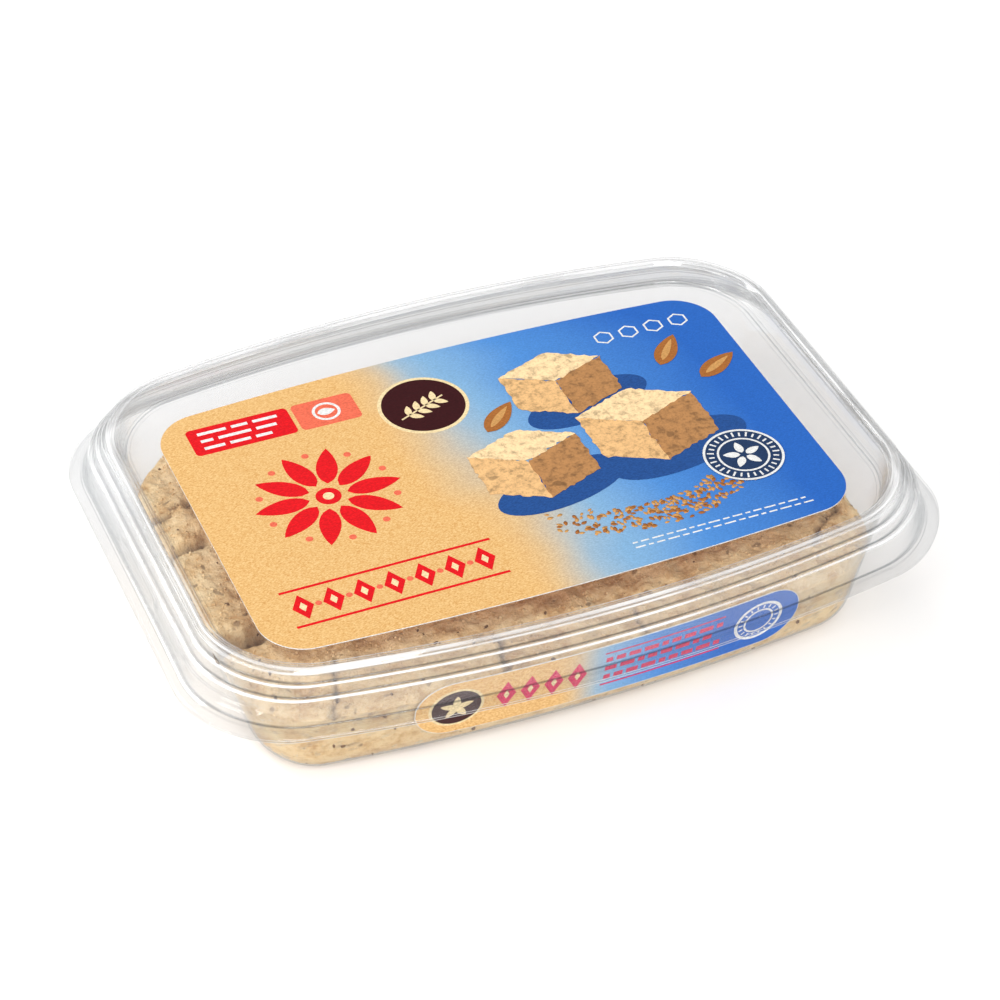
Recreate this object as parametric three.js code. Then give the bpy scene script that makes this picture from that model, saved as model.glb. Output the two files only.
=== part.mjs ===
// Sesame halva in a shut clear tub: tub, press-on lid, the halva block, a label on the lid and
// a sticker on the front wall. Millimetres, +Z up, standing on Z = 0 with the plan's centre at
// the origin. +X runs along the long side and -Y is the front.
import * as THREE from 'three';

// Plan of the pack: a rounded rectangle whose long sides bow outwards.
const HALF_LENGTH = 92; // outer edge of the flange, along X
const HALF_WIDTH = 58.4; // outer edge of the flange at the ends of a long side, without its bow
const SIDE_BOW = 11; // how far a long side stands out at its middle
const BOW_REACH = 90; // half the length over which the bow runs out
const CORNER_RADIUS = 21; // at the flange's outer edge
const MIN_RADIUS = 3;
// How the plan changes for each millimetre of inset, over the rim and then from the wall's top on.
const RIM_INSET = 9.85; // inset of the wall's top
const RIM_TAPER = 0.22; // less corner radius, over the rim
const WALL_TAPER = 0.9; // less corner radius, from the wall's top on
const BOW_FADE = 0.32; // less bow of the long sides, from the wall's top on
const END_LEAN = 0.15; // further inset of the ends, from the wall's top on

// Steps along one ring of the plan.
const CORNER_STEPS = 7;
const LONG_STEPS = 8;
const SHORT_STEPS = 2;
const HALVA_DETAIL = 2; // the halva's rings have this many times as many steps

// Formed plastic sheet and the play between lid and tub.
const SHEET = 0.5;
const RIM_PLAY = 0.2;

// Section of the lid's upper face, as [inset from the flange's outer edge, height].
const LID_FLANGE = [[0, 28.5], [2.3, 28.85], [2.9, 29.05]];
const LID_STEPS = [[4.4, 35.0], [5.3, 35.25], [6.1, 37.5], [6.9, 37.75]];
const LID_CROWN = [[7.4, 39.7], [8.4, 40.6], [9.85, 40.6], [10.85, 39.7]];
const PANEL_HEIGHT = 35.35;
const LID_WELL = [[12.1, 35.95], [12.45, 35.5], [13.15, PANEL_HEIGHT]];

// Section of the tub's inner face.
const TUB_CROWN = [[9.35, 39.9], [RIM_INSET, 39.35]];
const WALL_DRAFT = THREE.MathUtils.degToRad(13.1);
const FLOOR_RADIUS = 9;
const FLOOR_STEPS = 5;

// The halva block.
const HALVA_PLAY = 0.3; // to the tub's wall
const HALVA_LIFT = 0.1; // above the tub's floor
const HALVA_TOP = 22.6;
const HALVA_SIDE = [13, 17.5]; // heights of the rings on its upright side
// Rings of its top, from the upright side inwards: inset, drop below the top, share of the relief.
const HALVA_CREST = [
  [-0.3, 2, 0.5],
  [0.6, 0.5, 0.8],
  [2.2, 0, 1],
  [4.5, 0, 1],
  [7.5, 0, 1],
  [12, 0, 1],
  [20, 0, 1],
  [30, 0, 1],
];
// Relief of its top: height either way and the distance over which it changes.
const COARSE_LUMPS = { height: 0.9, span: 11, seed: 277 };
const FINE_LUMPS = { height: 0.5, span: 5, seed: 941 };

// Label on the lid's panel.
const LABEL_HALF_LENGTH = 71;
const LABEL_HALF_WIDTH = 41.25;
const LABEL_BOW = 5.13;
const LABEL_RADIUS = 9.8;
const LABEL_THICKNESS = 0.25;
const LABEL_LIFT = 0.05;

// Sticker with round ends on the front wall.
const STICKER_LEFT = -42.5;
const STICKER_RIGHT = 51.8;
const STICKER_BOTTOM = 7.7;
const STICKER_TOP = 25.5;
const STICKER_STEPS = 14;
const STICKER_END_STEPS = 6;
const STICKER_TIP = 0.06; // share of the quarter turn that the blunt tip of a round end leaves out
const STICKER_THICKNESS = 0.2;
const STICKER_LIFT = 0.15;

const CLEAR = { color: 0xe9edee, roughness: 0.06, metalness: 0, transparent: true, opacity: 0.35 };
const FINISHES = {
  tub: CLEAR,
  lid: CLEAR,
  halva: { color: 0xd6bb92, roughness: 0.85, metalness: 0 },
  top_label: { color: 0xd9b178, roughness: 0.45, metalness: 0 },
  front_label: { color: 0x4f86c9, roughness: 0.45, metalness: 0 },
};

// Points of one ring of a bowed rounded rectangle, anticlockwise seen from above.
function bowedRing({ halfLength, halfWidth, bow, radius }, z, detail = 1) {
  const signs = [[1, 1], [-1, 1], [-1, -1], [1, -1]];
  const corners = signs.map(([sx, sy], k) => {
    const arc = [];
    for (let i = 0; i <= CORNER_STEPS * detail; i++) {
      const angle = (k + i / (CORNER_STEPS * detail)) * (Math.PI / 2);
      arc.push(new THREE.Vector3(
        sx * (halfLength - radius) + radius * Math.cos(angle),
        sy * (halfWidth - radius) + radius * Math.sin(angle),
        z,
      ));
    }
    return arc;
  });
  const ring = [];
  corners.forEach((arc, k) => {
    ring.push(...arc);
    const next = corners[(k + 1) % 4][0];
    const last = arc[arc.length - 1];
    const steps = (k % 2 === 0 ? LONG_STEPS : SHORT_STEPS) * detail;
    for (let i = 1; i < steps; i++) ring.push(last.clone().lerp(next, i / steps));
  });
  for (const point of ring) {
    const swell = Math.max(0, 1 - (point.x / BOW_REACH) ** 2);
    point.y += (point.y / halfWidth) * bow * swell;
  }
  return ring;
}

// The pack's plan at an inset from the flange's edge.
function planAt(inset) {
  const beyond = Math.max(0, inset - RIM_INSET);
  const radius = CORNER_RADIUS - RIM_TAPER * (inset - beyond) - WALL_TAPER * beyond;
  return {
    halfLength: HALF_LENGTH - inset - END_LEAN * beyond,
    halfWidth: HALF_WIDTH - inset + BOW_FADE * beyond,
    bow: SIDE_BOW - BOW_FADE * beyond,
    radius: Math.max(MIN_RADIUS, radius),
  };
}

// One ring of the pack at an inset from the flange's edge.
function packRing([inset, z], detail = 1) {
  return bowedRing(planAt(inset), z, detail);
}

// A path of [inset, height] points moved sideways by a distance, with mitred corners.
// Along a path that runs inwards from the flange's edge, a positive distance is downwards.
function offsetPath(path, distance) {
  const normals = path.slice(1).map(([inset, z], i) => {
    const along = new THREE.Vector2(inset - path[i][0], z - path[i][1]).normalize();
    return new THREE.Vector2(along.y, -along.x);
  });
  return path.map(([inset, z], i) => {
    const before = normals[Math.max(0, i - 1)];
    const after = normals[Math.min(normals.length - 1, i)];
    const scale = distance / (1 + before.dot(after));
    return [inset + (before.x + after.x) * scale, z + (before.y + after.y) * scale];
  });
}

// A closed body from a stack of rings with the same number of points. Each end is closed by a
// fan to the middle of its ring.
function stackedBody(rings) {
  const count = rings[0].length;
  const positions = [];
  const triangles = [];
  for (const ring of rings) for (const point of ring) positions.push(point.x, point.y, point.z);
  for (let r = 0; r + 1 < rings.length; r++) {
    for (let i = 0; i < count; i++) {
      const a = r * count + i;
      const b = r * count + ((i + 1) % count);
      triangles.push([a, b, b + count], [a, b + count, a + count]);
    }
  }
  for (const end of [0, rings.length - 1]) {
    const middle = positions.length / 3;
    positions.push(0, 0, rings[end][0].z);
    for (let i = 0; i < count; i++) {
      const a = end * count + i;
      const b = end * count + ((i + 1) % count);
      triangles.push(end === 0 ? [middle, b, a] : [middle, a, b]);
    }
  }
  return outwardGeometry(positions, triangles);
}

// An indexed geometry whose triangles are all turned round if they enclose a negative volume.
function outwardGeometry(positions, triangles) {
  const at = (i) => new THREE.Vector3().fromArray(positions, 3 * i);
  const volume = triangles.reduce((sum, [a, b, c]) => sum + at(a).dot(at(b).cross(at(c))), 0);
  const turned = volume < 0 ? triangles.map(([a, b, c]) => [a, c, b]) : triangles;
  const geometry = new THREE.BufferGeometry();
  geometry.setAttribute('position', new THREE.Float32BufferAttribute(positions, 3));
  geometry.setIndex(turned.flat());
  geometry.computeVertexNormals();
  return geometry;
}

// A sheet of plastic under a face path that runs inwards from the flange's edge.
function formedSheet(face) {
  const back = offsetPath(face, SHEET);
  const loop = [...face.slice().reverse(), ...back];
  return stackedBody(loop.map((point) => packRing(point)));
}

const lidFace = [...LID_FLANGE, ...LID_STEPS, ...LID_CROWN, ...LID_WELL];

// The tub's inner face: its rim nests under the lid's, then the wall runs down to the floor.
function tubFace() {
  const nested = [...LID_FLANGE, ...LID_STEPS, ...LID_CROWN.slice(0, 3)];
  const rim = offsetPath(nested, SHEET + RIM_PLAY).slice(0, -1);
  const [wallTopInset, wallTop] = TUB_CROWN[TUB_CROWN.length - 1];
  const wallInset = (z) => wallTopInset + (wallTop - z) * Math.tan(WALL_DRAFT);
  const arcHeight = SHEET + FLOOR_RADIUS;
  const startHeight = arcHeight - FLOOR_RADIUS * Math.sin(WALL_DRAFT);
  const arcInset = wallInset(startHeight) + FLOOR_RADIUS * Math.cos(WALL_DRAFT);
  const floor = [];
  for (let i = 0; i <= FLOOR_STEPS; i++) {
    const angle = WALL_DRAFT + (i / FLOOR_STEPS) * (Math.PI / 2 - WALL_DRAFT);
    floor.push([arcInset - FLOOR_RADIUS * Math.cos(angle), arcHeight - FLOOR_RADIUS * Math.sin(angle)]);
  }
  return { path: [...rim, ...TUB_CROWN, ...floor], floor, wallInset };
}

// Smooth seeded lumps of a given height and span, from random values on a square lattice. The
// large factors only scatter those values.
function lumpyRelief({ height, span, seed }) {
  const corner = (i, j) => {
    const hash = Math.sin(i * 127.1 + j * 311.7 + seed) * 43758.5453;
    return 2 * (hash - Math.floor(hash)) - 1;
  };
  const ease = (t) => t * t * (3 - 2 * t);
  return (x, y) => {
    const i = Math.floor(x / span);
    const j = Math.floor(y / span);
    const u = ease(x / span - i);
    const v = ease(y / span - j);
    const low = THREE.MathUtils.lerp(corner(i, j), corner(i + 1, j), u);
    const high = THREE.MathUtils.lerp(corner(i, j + 1), corner(i + 1, j + 1), u);
    return height * THREE.MathUtils.lerp(low, high, v);
  };
}

// Cracks that run inwards from the block's edges: start, end, depth and half width.
const CRACKS = [
  { from: [-82, -24], to: [-66, -20], depth: 2.6, half: 2.2 },
  { from: [-81, 13], to: [-66, 16], depth: 2.0, half: 2.4 },
  { from: [-72, -49], to: [-62, -40], depth: 1.4, half: 1.8 },
  { from: [31, -58], to: [37, -44], depth: 1.2, half: 1.8 },
];

function crackDepth(x, y) {
  const point = new THREE.Vector3(x, y, 0);
  return CRACKS.reduce((sum, { from, to, depth, half }) => {
    const line = new THREE.Line3(new THREE.Vector3(...from, 0), new THREE.Vector3(...to, 0));
    const away = line.closestPointToPoint(point, true, new THREE.Vector3()).distanceTo(point);
    return sum + depth * Math.exp(-((away / half) ** 2));
  }, 0);
}

// The halva: pressed against the tub below, with a crumbly, cracked top.
function halvaBody(tub) {
  const coarse = lumpyRelief(COARSE_LUMPS);
  const fine = lumpyRelief(FINE_LUMPS);
  const relief = (x, y) => coarse(x, y) + fine(x, y) - crackDepth(x, y);
  const foot = offsetPath(tub.floor, -HALVA_PLAY).reverse();
  foot[0] = [foot[0][0], SHEET + HALVA_LIFT];
  const wall = HALVA_SIDE.map((z) => [tub.wallInset(z) + HALVA_PLAY / Math.cos(WALL_DRAFT), z]);
  const [edgeInset] = wall[wall.length - 1];
  const rings = [...foot, ...wall].map((point) => packRing(point, HALVA_DETAIL));
  for (const [inset, drop, share] of HALVA_CREST) {
    const ring = packRing([edgeInset + inset, HALVA_TOP - drop], HALVA_DETAIL);
    for (const point of ring) point.z += share * relief(point.x, point.y);
    rings.push(ring);
  }
  return stackedBody(rings);
}

// The printed label, flat on the lid's panel.
function topLabelBody() {
  const bottom = PANEL_HEIGHT + LABEL_LIFT;
  const outline = {
    halfLength: LABEL_HALF_LENGTH,
    halfWidth: LABEL_HALF_WIDTH,
    bow: LABEL_BOW,
    radius: LABEL_RADIUS,
  };
  const ring = (z) => bowedRing(outline, z);
  return stackedBody([ring(bottom), ring(bottom + LABEL_THICKNESS)]);
}

// The front sticker: a strip with round ends that follows the wall's slope and bow.
function frontLabelBody(tub) {
  const halfHeight = (STICKER_TOP - STICKER_BOTTOM) / 2;
  const middle = (STICKER_TOP + STICKER_BOTTOM) / 2;
  const columns = [];
  for (let i = 0; i <= STICKER_END_STEPS; i++) {
    const turn = THREE.MathUtils.lerp(STICKER_TIP, 1, i / STICKER_END_STEPS) * (Math.PI / 2);
    columns.push([
      STICKER_LEFT + halfHeight * (1 - Math.cos(turn)),
      halfHeight * Math.sin(turn),
    ]);
  }
  const straight = STICKER_RIGHT - STICKER_LEFT - 2 * halfHeight;
  for (let i = 1; i < STICKER_STEPS; i++) {
    columns.push([STICKER_LEFT + halfHeight + (straight * i) / STICKER_STEPS, halfHeight]);
  }
  for (let i = STICKER_END_STEPS; i >= 0; i--) {
    columns.push([STICKER_LEFT + STICKER_RIGHT - columns[i][0], columns[i][1]]);
  }
  // A point at x and z, a distance out from the tub's outer wall.
  const onWall = (x, z, out) => {
    const { halfWidth, bow } = planAt(tub.wallInset(z) - (SHEET + out) / Math.cos(WALL_DRAFT));
    return new THREE.Vector3(x, -(halfWidth + bow * (1 - (x / BOW_REACH) ** 2)), z);
  };
  const far = STICKER_LIFT + STICKER_THICKNESS;
  const loops = columns.map(([x, reach]) => [
    onWall(x, middle - reach, STICKER_LIFT),
    onWall(x, middle - reach, far),
    onWall(x, middle + reach, far),
    onWall(x, middle + reach, STICKER_LIFT),
  ]);
  const positions = loops.flat().flatMap((point) => point.toArray());
  const triangles = [];
  for (let c = 0; c + 1 < loops.length; c++) {
    for (let k = 0; k < 4; k++) {
      const a = 4 * c + k;
      const b = 4 * c + ((k + 1) % 4);
      triangles.push([a, b, b + 4], [a, b + 4, a + 4]);
    }
  }
  const last = 4 * (loops.length - 1);
  triangles.push([0, 2, 1], [0, 3, 2], [last, last + 1, last + 2], [last, last + 2, last + 3]);
  return outwardGeometry(positions, triangles);
}

function namedMesh(name, geometry) {
  const mesh = new THREE.Mesh(geometry, new THREE.MeshStandardMaterial(FINISHES[name]));
  mesh.name = name;
  return mesh;
}

const tub = tubFace();
const pack = new THREE.Group();
pack.add(
  namedMesh('tub', formedSheet(tub.path)),
  namedMesh('lid', formedSheet(lidFace)),
  namedMesh('halva', halvaBody(tub)),
  namedMesh('top_label', topLabelBody()),
  namedMesh('front_label', frontLabelBody(tub)),
);

export default pack;
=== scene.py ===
"""Sesame halva in a shut clear tub: the looks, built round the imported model.

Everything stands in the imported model's own frame: +X along the long side, -Y the front and +Z up,
with the tub standing on Z = 0. Shapes are worked out in millimetres and turned into metres when
their mesh is made.
"""
import logging
import math
from dataclasses import dataclass, field, replace
from enum import Enum
from typing import Callable, ClassVar, Iterable, Sequence

import bmesh
import bpy
import numpy as np
from mathutils import Matrix, Vector, noise


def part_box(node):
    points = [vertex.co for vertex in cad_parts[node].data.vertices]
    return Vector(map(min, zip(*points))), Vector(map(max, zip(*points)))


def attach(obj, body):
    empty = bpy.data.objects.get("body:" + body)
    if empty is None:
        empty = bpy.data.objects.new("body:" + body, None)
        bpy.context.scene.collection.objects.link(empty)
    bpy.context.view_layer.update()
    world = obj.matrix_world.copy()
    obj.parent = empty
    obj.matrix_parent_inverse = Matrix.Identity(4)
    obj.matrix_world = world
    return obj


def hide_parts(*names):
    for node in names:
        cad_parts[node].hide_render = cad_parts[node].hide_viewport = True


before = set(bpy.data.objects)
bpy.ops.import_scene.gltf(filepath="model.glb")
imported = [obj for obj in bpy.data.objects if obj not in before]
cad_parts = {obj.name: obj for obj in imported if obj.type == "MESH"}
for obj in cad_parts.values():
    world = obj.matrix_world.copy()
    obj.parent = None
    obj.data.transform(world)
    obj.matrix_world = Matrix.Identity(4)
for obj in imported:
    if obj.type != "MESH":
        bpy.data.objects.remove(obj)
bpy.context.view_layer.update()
LOG = logging.getLogger("halva_pack")
MM = 0.001
BODY = "root"
PRINT_GLOSS = 0.15  # how strongly printed paper mirrors, against 0.5 for bare plastic
NOISE_SEED = 7  # without a seed, noise_vector gives other values in each run

Colour = tuple[float, float, float]
Pair = tuple[float, float]
Path = list[Pair]


class Slot(Enum):
    """The record's material slots."""

    CLEAR = "clear_plastic"
    HALVA = "halva"
    LID_LABEL = "lid_label"
    SIDE_LABEL = "side_label"


class Ink(Enum):
    """The printed colours of the two labels, as linear red, green and blue."""

    RED = (0.80, 0.008, 0.014)
    CORAL = (0.90, 0.17, 0.095)
    BROWN = (0.045, 0.006, 0.008)
    CREAM = (0.93, 0.74, 0.42)
    WHITE = (0.88, 0.88, 0.86)
    SHADE_BLUE = (0.020, 0.085, 0.30)
    NAVY = (0.018, 0.045, 0.12)
    CAKE_TOP = (0.83, 0.60, 0.33)
    CAKE_LEFT = (0.70, 0.42, 0.18)
    CAKE_RIGHT = (0.40, 0.19, 0.065)
    POD = (0.42, 0.15, 0.035)
    SEED = (0.66, 0.34, 0.11)
    ROSE = (0.72, 0.02, 0.11)


def rounded_path(path: Sequence[Pair], radius: float, steps: int = 4) -> Path:
    """Rounds the inner corners of a path.

    Args:
        path: Points of [inset, height].
        radius: Wanted radius of each corner, cut down where its sides are short.
        steps: Steps along each corner's arc.

    Returns:
        The path with each inner corner replaced by an arc.
    """
    points = [np.array(point, float) for point in path]
    result = [tuple(points[0])]
    for before, corner, after in zip(points, points[1:], points[2:]):
        back = before - corner
        ahead = after - corner
        back_length = np.linalg.norm(back)
        ahead_length = np.linalg.norm(ahead)
        back /= back_length
        ahead /= ahead_length
        half = math.acos(float(np.clip(back @ ahead, -1, 1))) / 2
        cut = min(radius / math.tan(half), 0.49 * back_length, 0.49 * ahead_length)
        for i in range(steps + 1):
            share = i / steps
            start = corner + back * cut
            end = corner + ahead * cut
            curve = (1 - share) ** 2 * start + 2 * share * (1 - share) * corner + share**2 * end
            result.append(tuple(curve))
    result.append(tuple(points[-1]))
    return result


def subdivided_path(path: Sequence[Pair], longest: float) -> Path:
    """Adds points to a path so that no step is longer than a given length.

    Args:
        path: Points of [inset, height].
        longest: Longest step left.

    Returns:
        The finer path.
    """
    result = [tuple(path[0])]
    for start, end in zip(path, path[1:]):
        count = max(1, math.ceil(math.dist(start, end) / longest))
        for i in range(1, count + 1):
            result.append(tuple(np.array(start) + (np.array(end) - np.array(start)) * i / count))
    return result


def path_normals(path: Sequence[Pair]) -> np.ndarray:
    """Mitred normals of a path, pointing down where it runs level and inwards.

    Args:
        path: Points of [inset, height].

    Returns:
        One normal a point, longer than 1 at a corner so that parallel sides stay parallel.
    """
    points = np.array(path)
    along = np.diff(points, axis=0)
    along /= np.linalg.norm(along, axis=1)[:, None]
    side = np.stack([along[:, 1], -along[:, 0]], axis=1)
    before = np.vstack([side[:1], side])
    after = np.vstack([side, side[-1:]])
    return (before + after) / (1 + np.sum(before * after, axis=1))[:, None]


def offset_path(path: Sequence[Pair], distance: float) -> Path:
    """Moves a path sideways along its mitred normals."""
    return [tuple(point) for point in np.array(path) + path_normals(path) * distance]


@dataclass(frozen=True)
class BowedOutline:
    """A rounded rectangle whose long sides bow outwards, in millimetres."""

    half_length: float
    half_width: float
    bow: float
    reach: float
    radius: float
    detail: int = 1
    corner_steps: int = 26
    long_steps: int = 64
    short_steps: int = 30

    def ring(self) -> np.ndarray:
        """Walks round the outline.

        Returns:
            Its points, anticlockwise seen from above.
        """
        signs = ((1, 1), (-1, 1), (-1, -1), (1, -1))
        arcs = []
        for k, (sx, sy) in enumerate(signs):
            turn = (k + np.linspace(0, 1, self.corner_steps * self.detail + 1)) * math.pi / 2
            arcs.append(np.stack([
                sx * (self.half_length - self.radius) + self.radius * np.cos(turn),
                sy * (self.half_width - self.radius) + self.radius * np.sin(turn),
            ], axis=1))
        parts = []
        for k, arc in enumerate(arcs):
            steps = (self.long_steps if k % 2 == 0 else self.short_steps) * self.detail
            share = np.arange(1, steps)[:, None] / steps
            following = arcs[(k + 1) % 4][0]
            parts += [arc, arc[-1] + (following - arc[-1]) * share]
        ring = np.vstack(parts)
        swell = np.maximum(0, 1 - (ring[:, 0] / self.reach) ** 2)
        ring[:, 1] += ring[:, 1] / self.half_width * self.bow * swell
        return ring


@dataclass(frozen=True)
class PackPlan:
    """The pack seen from above, as outlines inset from the flange's outer edge.

    Attributes:
        rim_inset: Inset of the wall's top, from which on the tapers below apply.
        rim_taper: Corner radius lost for each millimetre of inset over the rim.
        wall_taper: Corner radius lost for each millimetre below it.
        bow_fade: Bow of the long sides lost for each millimetre below the rim.
        end_lean: Further inset of the ends for each millimetre below the rim.
        detail: How many times as many steps each ring has.
    """

    half_length: float
    half_width: float = 58.4
    bow: float = 11.0
    reach: float = 90.0
    corner_radius: float = 21.0
    least_radius: float = 3.0
    rim_inset: float = 9.85
    rim_taper: float = 0.22
    wall_taper: float = 0.9
    bow_fade: float = 0.32
    end_lean: float = 0.15
    detail: int = 1

    def outline(self, inset: float) -> BowedOutline:
        """Works out the pack's outline at an inset.

        Args:
            inset: Distance inwards from the flange's outer edge.

        Returns:
            The outline.
        """
        beyond = max(0.0, inset - self.rim_inset)
        radius = self.corner_radius - self.rim_taper * (inset - beyond) - self.wall_taper * beyond
        return BowedOutline(
            self.half_length - inset - self.end_lean * beyond,
            self.half_width - inset + self.bow_fade * beyond,
            self.bow - self.bow_fade * beyond,
            self.reach,
            max(self.least_radius, radius),
            self.detail,
        )

    def ring(self, inset: float) -> np.ndarray:
        """Points of the pack's outline at an inset."""
        return self.outline(inset).ring()

    def rate(self, inset: float) -> np.ndarray:
        """How far each point of a ring moves for one millimetre more of inset."""
        step = 0.05
        return (self.ring(inset + step) - self.ring(inset)) / step


@dataclass(frozen=True)
class PressedMark:
    """A long rounded mark pressed into a formed sheet.

    Attributes:
        centre: The mark's middle seen from above.
        half_length: Half its length along the outline.
        station: Its distance along the section from the flange's edge.
        half_height: Half its height along the section.
        depth: How far it goes in, less than 0 for a mark that stands out.
    """

    centre: Pair
    half_length: float
    station: float
    half_height: float
    depth: float

    def amount(self, ring: np.ndarray, stations: np.ndarray) -> np.ndarray:
        """Works out how far the mark moves the sheet.

        Args:
            ring: Points of the outline that the mark is laid along.
            stations: Distance of each point of the section from the flange's edge.

        Returns:
            The movement inwards, one row a station and one column a point of the ring.
        """
        steps = np.linalg.norm(np.roll(ring, -1, axis=0) - ring, axis=1)
        length = np.concatenate([[0], np.cumsum(steps)[:-1]])
        total = steps.sum()
        nearest = np.argmin(np.linalg.norm(ring - np.array(self.centre), axis=1))
        along = (length - length[nearest] + total / 2) % total - total / 2
        beyond = np.maximum(0, np.abs(along) - self.half_length)
        distance = np.hypot(beyond[None, :], (stations - self.station)[:, None])
        share = np.clip(1 - distance / self.half_height, 0, 1)
        return self.depth * share * share * (3 - 2 * share)


def stacked_rings(rings: Sequence[np.ndarray]) -> tuple[np.ndarray, list[tuple[int, ...]]]:
    """Joins rings into one closed body, each end closed by a fan to its middle.

    Args:
        rings: Rings of points with X, Y and Z, all with as many points.

    Returns:
        The body's points and its faces.
    """
    count = len(rings[0])
    points = list(rings)
    faces: list[tuple[int, ...]] = []
    for r in range(len(rings) - 1):
        base = r * count
        for i in range(count):
            j = (i + 1) % count
            faces.append((base + i, base + j, base + count + j, base + count + i))
    for end in (0, len(rings) - 1):
        middle = len(rings) * count + (0 if end == 0 else 1)
        points.append(rings[end].mean(axis=0)[None, :])
        for i in range(count):
            a = end * count + i
            b = end * count + (i + 1) % count
            faces.append((middle, b, a) if end == 0 else (middle, a, b))
    return np.vstack(points), faces


def make_piece(
    name: str, points: np.ndarray, faces: Iterable[Sequence[int]], smooth: bool = True
) -> bpy.types.Object:
    """Makes a closed mesh object that faces outwards.

    Args:
        name: The object's name.
        points: Its points in millimetres.
        faces: Its faces as point numbers.
        smooth: Whether its faces are shaded as one smooth surface.

    Returns:
        The object, at the origin.
    """
    data = bpy.data.meshes.new(name)
    data.from_pydata((np.asarray(points) * MM).tolist(), [], list(faces))
    shape = bmesh.new()
    shape.from_mesh(data)
    if shape.calc_volume(signed=True) < 0:
        bmesh.ops.reverse_faces(shape, faces=shape.faces)
    shape.to_mesh(data)
    shape.free()
    if smooth:
        data.shade_smooth()
    else:
        data.shade_flat()
    piece = bpy.data.objects.new(name, data)
    bpy.context.scene.collection.objects.link(piece)
    return piece


def place_piece(piece: bpy.types.Object, slot: Slot, *nodes: str) -> None:
    """Ties a finished piece to the frame and reports it.

    Args:
        piece: The finished object.
        slot: The material slot that it belongs to; not used.
        nodes: The CAD nodes that it stands for.
    """
    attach(piece, BODY)
    if nodes:
        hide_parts(*nodes)
    LOG.info("%s: %d faces", piece.name, len(piece.data.polygons))


class NodeTree:
    """A short way to add nodes to a tree and to link them."""

    def __init__(self, tree: bpy.types.NodeTree) -> None:
        """Keeps the tree to work on."""
        self.tree = tree

    def add(self, kind: str, settings: dict | None = None, **inputs: object) -> bpy.types.Node:
        """Adds a node.

        Args:
            kind: The node's type name.
            settings: Its properties.
            inputs: Its inputs by name, with _ for a space, as a value or a socket to link.

        Returns:
            The new node.
        """
        node = self.tree.nodes.new(kind)
        for key, value in (settings or {}).items():
            setattr(node, key, value)
        for key, value in inputs.items():
            self.feed(node.inputs[key.replace("_", " ")], value)
        return node

    def feed(self, socket: bpy.types.NodeSocket, value: object) -> None:
        """Links a socket to a source, or sets its value.

        Args:
            socket: The input socket.
            value: A socket to link it to, or a value.
        """
        if isinstance(value, bpy.types.NodeSocket):
            self.tree.links.new(value, socket)
        else:
            socket.default_value = value

    def math(self, operation: str, *values: object) -> bpy.types.NodeSocket:
        """Adds a Math node.

        Args:
            operation: What it works out.
            values: Its inputs in order, as values or sockets to link.

        Returns:
            Its value socket.
        """
        node = self.tree.nodes.new("ShaderNodeMath")
        node.operation = operation
        for socket, value in zip(node.inputs, values):
            self.feed(socket, value)
        return node.outputs[0]

    def ramp(self, source: object, stops: Sequence[tuple[float, Colour]]) -> bpy.types.NodeSocket:
        """Adds a colour ramp and returns its colour.

        Args:
            source: The socket that drives it.
            stops: Place and colour of each stop.

        Returns:
            The ramp's colour socket.
        """
        node = self.add("ShaderNodeValToRGB", Fac=source)
        elements = node.color_ramp.elements
        while len(elements) < len(stops):
            elements.new(1.0)
        for element, (place, colour) in zip(elements, stops):
            element.position = place
            element.color = (*colour, 1.0)
        return node.outputs["Color"]

    def mix(
        self, share: object, low: object, high: object, blend: str = "MIX"
    ) -> bpy.types.NodeSocket:
        """Adds a colour mix.

        Args:
            share: Share of the second colour.
            low: The first colour.
            high: The second colour.
            blend: How the two are blended.

        Returns:
            The mixed colour's socket.
        """
        node = self.tree.nodes.new("ShaderNodeMix")
        node.data_type = "RGBA"
        node.blend_type = blend
        self.feed(node.inputs[0], share)
        self.feed(node.inputs[6], low)
        self.feed(node.inputs[7], high)
        return node.outputs[2]


def new_material(name: str) -> tuple[bpy.types.Material, NodeTree, bpy.types.Node]:
    """Makes a material with an empty tree and its output node.

    Args:
        name: The material's name.

    Returns:
        The material, its tree and the output node.
    """
    material = bpy.data.materials.new(name)
    material.use_nodes = True
    material.node_tree.nodes.clear()
    nodes = NodeTree(material.node_tree)
    return material, nodes, nodes.add("ShaderNodeOutputMaterial")


def pass_shadows(nodes: NodeTree, shader: object, colour: Colour) -> bpy.types.NodeSocket:
    """Lets a share of the light through a surface to the shadows behind it.

    Args:
        nodes: The material's tree.
        shader: The surface's own shader socket.
        colour: Colour of the light let through.

    Returns:
        The mixed shader's socket.
    """
    through = nodes.add("ShaderNodeBsdfTransparent", Color=(*colour, 1.0))
    ray = nodes.add("ShaderNodeLightPath")
    mix = nodes.add("ShaderNodeMixShader", Fac=ray.outputs["Is Shadow Ray"])
    nodes.feed(mix.inputs[1], shader)
    nodes.feed(mix.inputs[2], through.outputs[0])
    return mix.outputs[0]


@dataclass(frozen=True)
class Scatter:
    """How grains lie on a surface.

    Attributes:
        density: Grains to a square metre where the surface's zone attribute is 1.
        smallest: Size of the smallest grain, as a share of the modelled one.
        largest: Size of the largest grain.
        turn: Largest turn about each axis.
        seed: Seed of the random draw.
    """

    density: float
    smallest: float
    largest: float
    turn: tuple[float, float, float]
    seed: int


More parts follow.
